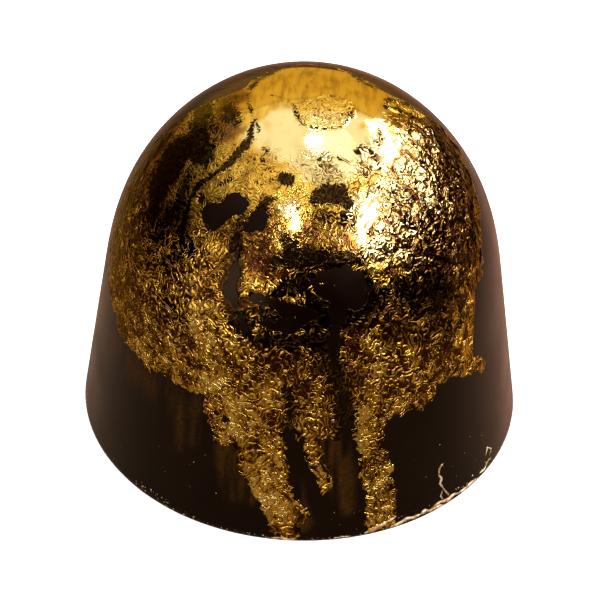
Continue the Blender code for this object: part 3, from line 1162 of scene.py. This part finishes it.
class LeafPlan:
    """Where there is leaf, and how it lies, at points on the outside. Distances are in millimetres."""

    # Between which arcs, and which azimuths in degrees, the leaf changes
    mirror_arcs = (23.0, 26.8)
    fine_arcs = (18.0, 21.0)
    fine_azimuths = (16, 30)
    satin_arcs = (13.5, 19.0)
    bright_arcs = (16.5, 23.5)
    folded_arcs = (12, 16)
    folded_azimuths = (14, 34)
    unfolded_azimuths = (100, 125)

    def __init__(self, outline):
        self.outline = outline
        self.hem_azimuth, self.hem_arc = np.array(HEM, float).T

    def depth(self, points, chain):
        return inside_chain(points, self.outline, chain)

    def inside(self, points, azimuth, arc):
        """How far inside the leaf a point is; negative where the chocolate is bare."""
        rough = clouds(points, (0.30, 1.3, 11), (0.20, 0.55, 12), (0.18, 0.27, 13), (0.08, 0.14, 14))
        sheet = arc - np.interp(azimuth, self.hem_azimuth, self.hem_arc)
        for chain in RUNS.values():
            sheet = np.maximum(sheet, self.depth(points, chain))
        sheet = sheet + 1.1 * rough
        for chain in TEARS.values():
            sheet = np.minimum(sheet, 0.75 * rough - self.depth(points, chain))
        return sheet

    def polish(self, points, arc):
        """1 where the leaf is smooth as a mirror, 0 where it is crinkled."""
        ragged = clouds(points, (0.5, 1.5, 21), (0.5, 0.6, 22))
        smooth = smoothstep(arc - ragged, *self.mirror_arcs) * (1 - 0.7 * self.raised(points))
        for chain in SMOOTH.values():
            depth = self.depth(points, chain) + 0.25 * cloud(points, 0.5, 28)
            smooth = np.maximum(smooth, 0.9 * smoothstep(depth, -0.25, 0.25))
        return smooth

    def pale(self, points):
        """1 on the front of the crown and on the right, where the lights reflect and pale gold is laid as a
        painted highlight.
        """
        rough = clouds(points, (0.7, 1.1, 24), (0.35, 0.4, 25))
        depth = np.max([self.depth(points, chain) for chain in PALE_HIGHLIGHTS.values()], axis=0)
        return smoothstep(depth + rough, -0.5, 0.5) * (1 - 0.5 * self.raised(points))

    def fine(self, points, azimuth, arc):
        """1 where the wrinkles are finest: on the crown's front and left, and on the flake."""
        front = 1 - smoothstep(azimuth + 4 * cloud(points, 1.2, 33), *self.fine_azimuths)
        high = smoothstep(arc + 0.8 * cloud(points, 1.0, 34), *self.fine_arcs)
        return np.maximum(high * front, self.raised(points))

    def satin(self, azimuth, arc):
        """1 down the wall, where the leaf is dullest."""
        lower_on_right = 0.06 * np.clip(azimuth, 0, 60)
        return 1 - smoothstep(arc + lower_on_right, *self.satin_arcs)

    def tone(self, points, arc):
        """How bright the leaf is, from 0 to 1: brightest on the crown, and patchy down the wall."""
        high = smoothstep(arc + 1.2 * cloud(points, 1.5, 29), *self.bright_arcs)
        level = 0.33 + 0.51 * high
        for target, soft, chain in TONES.values():
            depth = self.depth(points, chain) + 0.8 * soft * cloud(points, 0.7, 30)
            level = level + (target - level) * smoothstep(depth, -soft, soft)
        return level + clouds(points, (0.7, 1.3, 26), (0.5, 0.5, 27)) * (0.42 - 0.30 * high)

    def folding(self, points, azimuth, arc):
        """1 where coarse folds cross the fine wrinkles."""
        from_front = smoothstep(azimuth + 6 * cloud(points, 2.0, 31), *self.folded_azimuths)
        to_back = 1 - smoothstep(azimuth, *self.unfolded_azimuths)
        amount = from_front * to_back * smoothstep(arc, *self.folded_arcs)
        for chain in DRAPES.values():
            amount = np.maximum(amount, 0.7 * smoothstep(self.depth(points, chain), -0.8, 0.5))
        return np.maximum(amount, 0.3) * (1 - 0.6 * self.raised(points))

    def raised(self, points):
        """1 on the crumpled flake that lies over the crown."""
        return smoothstep(self.depth(points, FLAKE) + 0.25 * cloud(points, 0.5, 23), -0.06, 0.06)

    def worn(self, points):
        """1 where the leaf is rubbed down to the chocolate, apart from the backs of its wrinkles."""
        rough = clouds(points, (0.6, 1.6, 51), (0.4, 0.6, 52), (0.3, 0.25, 53))
        amount = np.zeros(len(points))
        for strength, soft, chain in WORN.values():
            depth = self.depth(points, chain) + (0.06 + 0.8 * soft) * rough
            amount = np.maximum(amount, strength * smoothstep(depth, -soft, soft))
        return amount

    def lay(self, square):
        """Everything about the leaf at the grid's points, which are given on the square of side 2."""
        azimuth, arc = self.outline.from_square(square[:, 0], square[:, 1])
        points, normals = self.outline.place(azimuth, arc)
        worn = self.worn(points)
        return {
            "square": square,
            "points": points,
            "normals": normals,
            "edge": self.inside(points, azimuth, arc),
            "polish": self.polish(points, arc) * (1 - worn),
            "pale": self.pale(points),
            "fine": self.fine(points, azimuth, arc),
            "satin": self.satin(azimuth, arc),
            "tone": self.tone(points, arc),
            "folding": self.folding(points, azimuth, arc),
            "worn": worn,
            "raised": self.raised(points),
        }


def sector(azimuth, arc, points):
    """Which piece of leaf a place belongs to, as a number in SECTOR_NAMES."""
    crown_edge = 24.6
    wobble = clouds(points, (1.0, 1.1, 41), (0.5, 0.4, 42))
    ends_passed = np.searchsorted(SECTOR_ENDS, azimuth + 5 * wobble)
    round_wall = (ends_passed - 1) % len(SECTOR_ENDS) + 1
    return np.where(arc + 0.5 * wobble > crown_edge, 0, round_wall)


def cell_corners(cell, cells):
    """The four grid corners of cells, anticlockwise."""
    row, column = np.divmod(cell, cells)
    first = row * (cells + 1) + column
    return np.stack([first, first + 1, first + cells + 2, first + cells + 1], axis=-1)


def cut_cells(inside, cells, nearest=0.06):
    """Cuts the square grid along the leaf's edge.

    inside is a value at each grid corner. Returns which cells are whole, the cut cells' polygons, the cell
    of each, and the points that were added on grid edges as (corner, corner, share). They keep a share of at
    least nearest from the corners.
    """
    side = cells + 1
    corners = cell_corners(np.arange(cells * cells), cells)
    kept = (inside[corners] > 0).sum(axis=1)
    added, index, polygons, owners = [], {}, [], []

    def crossing(a, b):
        key = (a, b) if a < b else (b, a)
        if key not in index:
            low, high = key
            share = inside[low] / (inside[low] - inside[high])
            index[key] = side * side + len(added)
            added.append((low, high, min(max(share, nearest), 1 - nearest)))
        return index[key]

    for cell in np.flatnonzero((kept > 0) & (kept < 4)):
        ring = corners[cell].tolist()
        polygon = []
        for here, following in zip(ring, ring[1:] + ring[:1]):
            if inside[here] > 0:
                polygon.append(here)
            if (inside[here] > 0) != (inside[following] > 0):
                polygon.append(crossing(here, following))
        if len(polygon) > 2:
            polygons.append(polygon)
            owners.append(cell)
    return kept == 4, polygons, np.array(owners), added


def block_polygons(whole, block):
    """Joins square blocks of whole cells into single faces, for the leaf's hidden side.

    A block keeps its corners, and the points along a side only where its neighbour isn't such a block.
    Returns the faces, and which cells are left over.
    """
    cells = whole.shape[0]
    count = cells // block
    full = whole[: count * block, : count * block].reshape(count, block, count, block).all(axis=(1, 3))
    padded = np.pad(full, 1)
    faces = []
    for row, column in zip(*np.nonzero(full)):
        first = row * block * (cells + 1) + column * block
        walk = (
            (first, 1, padded[row, column + 1]),
            (first + block, cells + 1, padded[row + 1, column + 2]),
            (first + block * (cells + 2), -1, padded[row + 2, column + 1]),
            (first + block * (cells + 1), -(cells + 1), padded[row + 1, column]),
        )
        face = []
        for start, step, joined in walk:
            face.extend([start] if joined else range(start, start + step * block, step))
        faces.append(face)
    left = whole.copy()
    left[: count * block, : count * block] &= ~np.kron(full, np.ones((block, block), bool))
    return faces, left


def half_edges(faces):
    """The start and the end of every side of every face, and each face's number of sides."""
    here = np.fromiter(itertools.chain.from_iterable(faces), np.int64)
    sizes = np.fromiter((len(face) for face in faces), np.int64)
    starts = np.concatenate([[0], np.cumsum(sizes)[:-1]])
    following = np.arange(len(here)) + 1
    following[starts + sizes - 1] = starts
    return here, here[following], sizes


def leaf_shell(name, whole, cut, data):
    """A closed thin shell: a top, a coarser bottom, and a wall along every open edge.

    whole says which grid cells the piece has, cut holds its cut cells' polygons, and data holds arrays over
    all the grid's points. The top and the bottom start in the same place, so the tree that wrinkles the leaf
    also gives it its thickness.
    """
    cells = whole.shape[0]
    top = cell_corners(np.flatnonzero(whole), cells).tolist() + cut
    blocks, left = block_polygons(whole, BLOCK)
    bottom = [face[::-1] for face in blocks + cell_corners(np.flatnonzero(left), cells).tolist() + cut]
    here, after, top_sizes = half_edges(top)
    total = len(data["edge"])
    open_edge = ~np.isin(here * total + after, after * total + here)
    start, end = here[open_edge], after[open_edge]
    under, _, bottom_sizes = half_edges(bottom)
    used_top, compact_top = np.unique(here, return_inverse=True)
    used_bottom, compact_bottom = np.unique(under, return_inverse=True)
    count = len(used_top)
    wall_start, wall_end = np.searchsorted(used_top, start), np.searchsorted(used_top, end)
    low_start, low_end = np.searchsorted(used_bottom, start), np.searchsorted(used_bottom, end)
    wall = np.stack([wall_end, wall_start, low_start + count, low_end + count], axis=1)
    corners = np.concatenate([compact_top, compact_bottom + count, wall.ravel()])
    sizes = np.concatenate([top_sizes, bottom_sizes, np.full(len(wall), 4)])
    source = np.concatenate([used_top, used_bottom])
    mesh = bpy.data.meshes.new(name)
    mesh.vertices.add(len(source))
    mesh.vertices.foreach_set("co", (data["points"][source] * MM).ravel())
    mesh.loops.add(len(corners))
    mesh.loops.foreach_set("vertex_index", corners)
    mesh.polygons.add(len(sizes))
    mesh.polygons.foreach_set("loop_start", np.concatenate([[0], np.cumsum(sizes)[:-1]]))
    mesh.update(calc_edges=True)
    for label in LEAF_VALUES:
        store(mesh, label, data[label][source])
    store(mesh, "lift", np.arange(len(source)) < count)
    store(mesh, "outward", data["normals"][source])
    paint_leaf_uv(mesh, data["square"][source][corners], int(top_sizes.sum()))
    mark_seams(mesh, data["edge"][source], wall)
    mesh.shade_smooth()
    return mesh


def paint_leaf_uv(mesh, square, top_corners):
    """Gives the top nearly the whole texture, and the hidden bottom and walls a strip beneath it."""
    side_start, side_reach = 0.01, 0.98
    top_start, top_reach = 0.04, 0.95
    strip_start, strip_reach = 0.002, 0.02
    low, high = square.min(axis=0), square.max(axis=0)
    uv = (square - low) / (high - low)
    uv[:, 0] = side_start + side_reach * uv[:, 0]
    uv[:top_corners, 1] = top_start + top_reach * uv[:top_corners, 1]
    uv[top_corners:, 1] = strip_start + strip_reach * uv[top_corners:, 1]
    mesh.uv_layers.new(name="OFBake").data.foreach_set("uv", uv.ravel())


def mark_seams(mesh, edge, wall, from_edge=0.03):
    """Marks the leaf's top rim sharp where it meets another piece of leaf, so that no line shows there."""
    joined = wall[(edge[wall[:, 0]] > from_edge) & (edge[wall[:, 1]] > from_edge)]
    ends = np.empty(len(mesh.edges) * 2, np.int64)
    mesh.edges.foreach_get("vertices", ends)
    ends = np.sort(ends.reshape(-1, 2), axis=1)
    wanted = np.sort(joined[:, :2], axis=1)
    total = len(mesh.vertices)
    sharp = np.isin(ends[:, 0] * total + ends[:, 1], wanted[:, 0] * total + wanted[:, 1])
    mesh.attributes.new("sharp_edge", "BOOLEAN", "EDGE").data.foreach_set("value", sharp)


def crinkle_tree():
    """Wrinkles a leaf shell: fine strokes, coarser crumpled folds, and a thin edge."""
    labels = ("Sunk", "Thickness", "Stroke Size", "Stroke Height", "Fold Size", "Fold Slope", "Seed")
    tree, value = geometry_tree("crinkled leaf", dict.fromkeys(labels, "Float"))
    spot = Arrow(tree, put(tree, "GeometryNodeInputPosition").outputs[0])
    outward = stored(tree, "outward", Arrow)
    names = ("edge", "polish", "fine", "satin", "folding", "worn", "raised", "lift")
    leaf = SimpleNamespace(**{name: stored(tree, name) for name in names})
    lying = leaf.satin * LYING
    back, _ = crinkles(tree, spot, outward, lying, leaf.fine, value["Stroke Size"], value["Seed"])
    strength = ease(tree, noise(tree, spot, FAINT_PLACES, value["Seed"], 1.0), 0.35, 0.65, 0.5, 1.3)
    strength = strength * (1.0 - leaf.fine * 0.7) * (1.0 - leaf.worn * 0.7) * (1.0 - leaf.folding * 0.5)
    fold, finer = folds(tree, foil(tree, spot, value["Fold Size"], value["Seed"]))
    tent = maths(tree, "MAXIMUM", fold - finer * 0.9, 0.0)
    rise = back * strength * value["Stroke Height"] + tent * value["Fold Slope"] * leaf.folding
    rise = rise * (1.0 - leaf.polish) + leaf.raised * FLAKE_HEIGHT
    sheet = value["Thickness"] * ease(tree, leaf.edge, 0.0, 0.12, 0.4, 1.0)
    top = sheet + rise * ease(tree, leaf.edge, 0.0, 0.25) - value["Sunk"]
    bottom = value["Sunk"] * -1.6
    height = bottom + leaf.lift * (top - bottom)
    inputs = {"Geometry": value["Geometry"], "Name": "place", "Value": spot}
    settings = {"data_type": "FLOAT_VECTOR", "domain": "POINT"}
    marked = put(tree, "GeometryNodeStoreNamedAttribute", inputs, **settings).outputs[0]
    moved = put(tree, "GeometryNodeSetPosition", {"Geometry": marked, "Offset": outward * height}).outputs[0]
    close_tree(tree, value, moved)
    return tree


class PRALINE_OT_gold_leaf(bpy.types.Operator):
    """Lay the torn gold leaf over the crown and down the front"""

    bl_idname = "praline.gold_leaf"
    bl_label = "Gold leaf"

    def execute(self, context):
        shape = context.scene.praline_shape
        finish = context.scene.praline_leaf
        outline = Outline(shape)
        whole, cut, owners, data = self.sheet(LeafPlan(outline), finish.cells)
        part = self.parts(outline, finish.cells)
        tree = crinkle_tree()
        values = {
            "Sunk": shape.sunk,
            "Thickness": finish.thickness,
            "Stroke Size": finish.stroke_size,
            "Stroke Height": finish.stroke_height,
            "Fold Size": finish.fold_size,
            "Fold Slope": finish.fold_slope,
            "Seed": LEAF_SEED,
            "Material": gold_material(finish),
        }
        for number, name in enumerate(SECTOR_NAMES):
            own_whole = (whole & (part == number)).reshape(finish.cells, finish.cells)
            own_cut = [polygon for polygon, owner in zip(cut, owners) if part[owner] == number]
            leaf = add_object(name, leaf_shell(name, own_whole, own_cut, data))
            through_tree(leaf, tree, values)
            if signed_volume(leaf.data) < 0:
                raise RuntimeError(f"{name} is inside out")
            ride_root(leaf)
        return {"FINISHED"}

    def sheet(self, plan, cells):
        """Which grid cells are whole, the cut cells' polygons, their cells, and the leaf at every point."""
        line = np.linspace(-1, 1, cells + 1)
        up, across = np.meshgrid(line, line, indexing="ij")
        square = np.stack([across.ravel(), up.ravel()], axis=1)
        data = plan.lay(square)
        whole, cut, owners, added = cut_cells(data["edge"], cells)
        low, high, share = (np.array(column) for column in zip(*added))
        share = share[:, None]
        extra = plan.lay(square[low] * (1 - share) + square[high] * share)
        extra["edge"] = 0 * extra["edge"]
        return whole, cut, owners, {key: np.concatenate([data[key], extra[key]]) for key in data}

    def parts(self, outline, cells):
        """The number of the piece that each grid cell belongs to."""
        line = np.linspace(-1, 1, cells + 1)[:-1] + 1 / cells
        up, across = np.meshgrid(line, line, indexing="ij")
        azimuth, arc = outline.from_square(across.ravel(), up.ravel())
        points, _ = outline.place(azimuth, arc)
        return sector(azimuth, arc, points)


# ------------------------------------------------------------------ strands and crumbs of leaf


def shred_tree():
    """Sweeps a rough, flattened strand along each path that lies on the chocolate."""
    tree, value = geometry_tree("shreds", dict.fromkeys(("Unevenness", "Lump Size", "Seed"), "Float"))
    line = put(tree, "GeometryNodeMeshToCurve", {"Mesh": value["Geometry"]}).outputs[0]
    width = stored(tree, "half_width")
    line = put(tree, "GeometryNodeSetCurveRadius", {"Curve": line, "Radius": width}).outputs[0]
    ring = put(tree, "GeometryNodeCurvePrimitiveCircle", {"Resolution": 8, "Radius": 1.0}).outputs[0]
    inputs = {"Curve": line, "Profile Curve": ring, "Scale": width, "Fill Caps": True}
    strand = put(tree, "GeometryNodeCurveToMesh", inputs).outputs[0]
    spot = put(tree, "GeometryNodeInputPosition").outputs[0]
    push = drift(tree, spot, 1.0 / value["Lump Size"], value["Seed"], 2.0) * value["Unevenness"]
    strand = put(tree, "GeometryNodeSetPosition", {"Geometry": strand, "Offset": push}).outputs[0]
    close_tree(tree, value, put(tree, "GeometryNodeSetShadeSmooth", {0: strand}).outputs[0])
    return tree


def speck_tree():
    """Puts a small rough crumb on every point, each with its own size and turn."""
    tree, value = geometry_tree("specks", {"Roughness": "Float", "Flatness": "Float", "Seed": "Int"})
    crumb = put(tree, "GeometryNodeMeshIcoSphere", {"Radius": 1.0, "Subdivisions": 2}).outputs[0]
    spot = put(tree, "GeometryNodeInputPosition").outputs[0]
    push = drift(tree, spot, 1.3, 2.0, 1.0) * value["Roughness"]
    crumb = put(tree, "GeometryNodeSetPosition", {"Geometry": crumb, "Offset": push}).outputs[0]
    flat = put(tree, "ShaderNodeCombineXYZ", {0: 1.0, 1: 0.6, 2: value["Flatness"]}).outputs[0]
    crumb = put(tree, "GeometryNodeTransform", {"Geometry": crumb, "Scale": flat}).outputs[0]
    outward = stored(tree, "outward", Arrow)
    upright = put(tree, "FunctionNodeAlignRotationToVector", {"Vector": outward}, axis="Z").outputs[0]
    inputs = {"Max": 6.28, "Seed": value["Seed"]}
    turn = put(tree, "FunctionNodeRandomValue", inputs, data_type="FLOAT").outputs["Value"]
    spin = put(tree, "ShaderNodeCombineXYZ", {2: turn}).outputs[0]
    spin = put(tree, "FunctionNodeEulerToRotation", {0: spin}).outputs[0]
    turned = put(tree, "FunctionNodeRotateRotation", {0: upright, 1: spin}, rotation_space="LOCAL").outputs[0]
    size = stored(tree, "size")
    inputs = {"Points": value["Geometry"], "Instance": crumb, "Rotation": turned, "Scale": size}
    close_tree(tree, value, put(tree, "GeometryNodeInstanceOnPoints", inputs).outputs[0])
    return tree


class PRALINE_OT_scraps(bpy.types.Operator):
    """Add the torn strands near the rim and the small crumbs of leaf"""

    bl_idname = "praline.scraps"
    bl_label = "Strands and crumbs of leaf"

    def execute(self, context):
        sunk = context.scene.praline_shape.sunk / MM
        outline = Outline(context.scene.praline_shape)
        paint = scrap_material()
        strands = add_object("gold_leaf_strands", self.strand_lines(outline, sunk))
        rough = {"Unevenness": 0.10 * MM, "Lump Size": 0.22 * MM, "Seed": 1.0, "Material": paint}
        through_tree(strands, shred_tree(), rough)
        crumbs = add_object("gold_leaf_crumbs", self.crumb_points(outline, sunk))
        through_tree(crumbs, speck_tree(), {"Roughness": 0.9, "Flatness": 0.45, "Seed": 7, "Material": paint})
        for obj in (strands, crumbs):
            if signed_volume(obj.data) < 0:
                obj.data.flip_normals()
            ride_root(obj)
        return {"FINISHED"}

    def strand_lines(self, outline, sunk):
        """One mesh of lines that lie on the chocolate, with a half width at every point."""
        steps_between = 9
        spots, widths, pairs = [], [], []
        for number, chain in enumerate(SHREDS.values()):
            even = np.linspace(0, len(chain) - 1, steps_between * (len(chain) - 1) + 1)
            azimuth, arc, width = along_chain(chain, even)
            points, normals = outline.place(azimuth, arc)
            lift = 0.25 * width - sunk + 0.05 * cloud(points, 0.3, 71)
            taper = np.clip(np.minimum(even, even[-1] - even) * 2.5, 0.25, 1)
            first = sum(len(part) for part in spots)
            spots.append(points + normals * lift[:, None])
            widths.append(width * taper * (1 + 0.5 * cloud(points, 0.35, 72 + number)))
            pairs.extend((first + n, first + n + 1) for n in range(len(even) - 1))
        mesh = bpy.data.meshes.new("strands")
        mesh.from_pydata((np.concatenate(spots) * MM).tolist(), pairs, [])
        store(mesh, "half_width", np.concatenate(widths) * MM)
        return mesh

    def crumb_points(self, outline, sunk):
        """Loose points on the chocolate, with a size and an outward direction each."""
        lowest = 0.27
        dice = np.random.default_rng(17)
        spots, turns, sizes = [], [], []
        for count, largest, chain in SPECKS.values():
            azimuth, arc, width = along_chain(chain, dice.uniform(0, len(chain) - 1, count))
            radius = outline.at(arc)[0]
            azimuth = azimuth + np.degrees(dice.uniform(-1, 1, count) * width / radius)
            arc = np.maximum(arc + dice.uniform(-1, 1, count) * width, lowest)
            points, normals = outline.place(azimuth, arc)
            spots.append(points - normals * sunk)
            turns.append(normals)
            sizes.append(largest / 2 * dice.uniform(0.3, 1, count) ** 1.5)
        mesh = bpy.data.meshes.new("crumbs")
        mesh.from_pydata((np.concatenate(spots) * MM).tolist(), [], [])
        store(mesh, "outward", np.concatenate(turns))
        store(mesh, "size", np.concatenate(sizes) * MM)
        return mesh


# ------------------------------------------------------------------ the stage


def softbox(name, azimuth, elevation, distance, width, height, radiance, colour):
    """A rectangular light that faces the praline. Angles are in degrees, and sizes in metres."""
    light = bpy.data.lights.new(name, "AREA")
    light.shape = "RECTANGLE"
    light.size = width
    light.size_y = height
    light.energy = radiance * math.pi * width * height
    light.color = colour
    obj = add_object(name, light)
    side, up = math.radians(azimuth), math.radians(elevation)
    towards = Vector((math.sin(side) * math.cos(up), -math.cos(side) * math.cos(up), math.sin(up)))
    middle = Vector((0, 0, CAD_HIGH.z * 0.6))
    obj.location = middle + towards * distance
    obj.rotation_mode = "QUATERNION"
    obj.rotation_quaternion = (-towards).to_track_quat("-Z", "Y")
    obj.visible_camera = False


def backdrop_mesh(radius, height, around=96, rings=40):
    """A round floor whose far edge sweeps up into a wall."""
    flat_share = 0.5
    line = []
    for step in range(1, rings + 1):
        share = step / rings
        out = radius * min(share * 1.6, 1.0)
        line.append((out, height * max(0.0, (share - flat_share) / flat_share) ** 2))
    points = [(0.0, 0.0, 0.0)]
    for out, up in line:
        for turn in range(around):
            angle = 2 * math.pi * turn / around
            points.append((out * math.cos(angle), out * math.sin(angle), up))
    faces = [(0, 1 + n, 1 + (n + 1) % around) for n in range(around)]
    for ring in range(rings - 1):
        first = 1 + ring * around
        for n in range(around):
            after = (n + 1) % around
            faces.append((first + n, first + around + n, first + around + after, first + after))
    mesh = bpy.data.meshes.new("floor")
    mesh.from_pydata(points, [], faces)
    mesh.shade_smooth()
    return mesh


class PRALINE_OT_stage(bpy.types.Operator):
    """Set up the pale floor, the soft lights, the surroundings and the camera"""

    bl_idname = "praline.stage"
    bl_label = "Stage"

    def execute(self, context):
        self.floor()
        for name, settings in LIGHTS.items():
            softbox(name, *settings)
        self.world(context.scene)
        self.camera(context.scene)
        context.scene.view_settings.view_transform = "Standard"
        return {"FINISHED"}

    def floor(self):
        floor = add_object("floor", backdrop_mesh(1.5, 2.0))
        floor.data.materials.append(floor_material())
        floor.visible_glossy = False
        floor.visible_diffuse = False
        floor.visible_shadow = False

    def world(self, scene):
        """A dim room that is lighter overhead, and warm and lighter still where a table would be."""
        scene.world = bpy.data.worlds.new("surroundings")
        scene.world.use_nodes = True
        tree = scene.world.node_tree
        x, y, z = axes(tree, put(tree, "ShaderNodeTexCoord").outputs["Generated"])
        behind = ease(tree, y, -0.1, 0.85)
        high = blend(tree, ease(tree, z, 0.25, 0.8), blend(tree, behind, ROOM_FRONT, ROOM_BACK), ROOM_TOP)
        side = blend(tree, ease(tree, x, -0.3, 0.3), TABLE_BACK_LEFT, TABLE_BACK_RIGHT)
        low = blend(tree, behind, TABLE_FRONT, side)
        fill(tree, tree.nodes["Background"], {"Color": blend(tree, ease(tree, z, -0.08, -0.42), high, low)})

    def camera(self, scene):
        look = scene.praline_stage
        camera = bpy.data.cameras.new("camera")
        camera.lens = look.lens
        camera.clip_start = 0.01
        obj = add_object("camera", camera)
        middle = Vector((0, 0, 11.6 * MM))
        back = Vector((0, -math.cos(look.elevation), math.sin(look.elevation)))
        obj.location = middle + back * look.distance
        aim = Vector((-0.15 * MM, -1.81 * MM, 9.17 * MM))
        sight = (aim - obj.location).normalized()
        obj.rotation_mode = "QUATERNION"
        obj.rotation_quaternion = sight.to_track_quat("-Z", "Y") @ Quaternion((0, 0, 1), look.tilt)
        scene.camera = obj


# ------------------------------------------------------------------ the add-on


class PRALINE_PT_workshop(bpy.types.Panel):
    """Buttons for the praline's pieces, in the order in which they are made."""

    bl_label = "Praline"
    bl_idname = "PRALINE_PT_workshop"
    bl_space_type = "VIEW_3D"
    bl_region_type = "UI"
    bl_category = "Praline"

    def draw(self, context):
        for operator in OPERATORS:
            self.layout.operator(operator.bl_idname)
        for group in (context.scene.praline_shape, context.scene.praline_leaf, context.scene.praline_stage):
            box = self.layout.box()
            for name in group.__annotations__:
                box.prop(group, name)


GROUPS = {"praline_shape": PralineShape, "praline_leaf": LeafFinish, "praline_stage": StageLook}
OPERATORS = (PRALINE_OT_chocolate_body, PRALINE_OT_gold_leaf, PRALINE_OT_scraps, PRALINE_OT_stage)


def register():
    for group in (*GROUPS.values(), *OPERATORS, PRALINE_PT_workshop):
        bpy.utils.register_class(group)
    for name, group in GROUPS.items():
        setattr(bpy.types.Scene, name, bpy.props.PointerProperty(type=group))


def unregister():
    for name in GROUPS:
        delattr(bpy.types.Scene, name)
    for group in reversed((*GROUPS.values(), *OPERATORS, PRALINE_PT_workshop)):
        bpy.utils.unregister_class(group)


def main():
    register()
    bpy.ops.praline.chocolate_body()
    bpy.ops.praline.gold_leaf()
    bpy.ops.praline.scraps()
    bpy.ops.praline.stage()


if __name__ == "__main__":
    main()
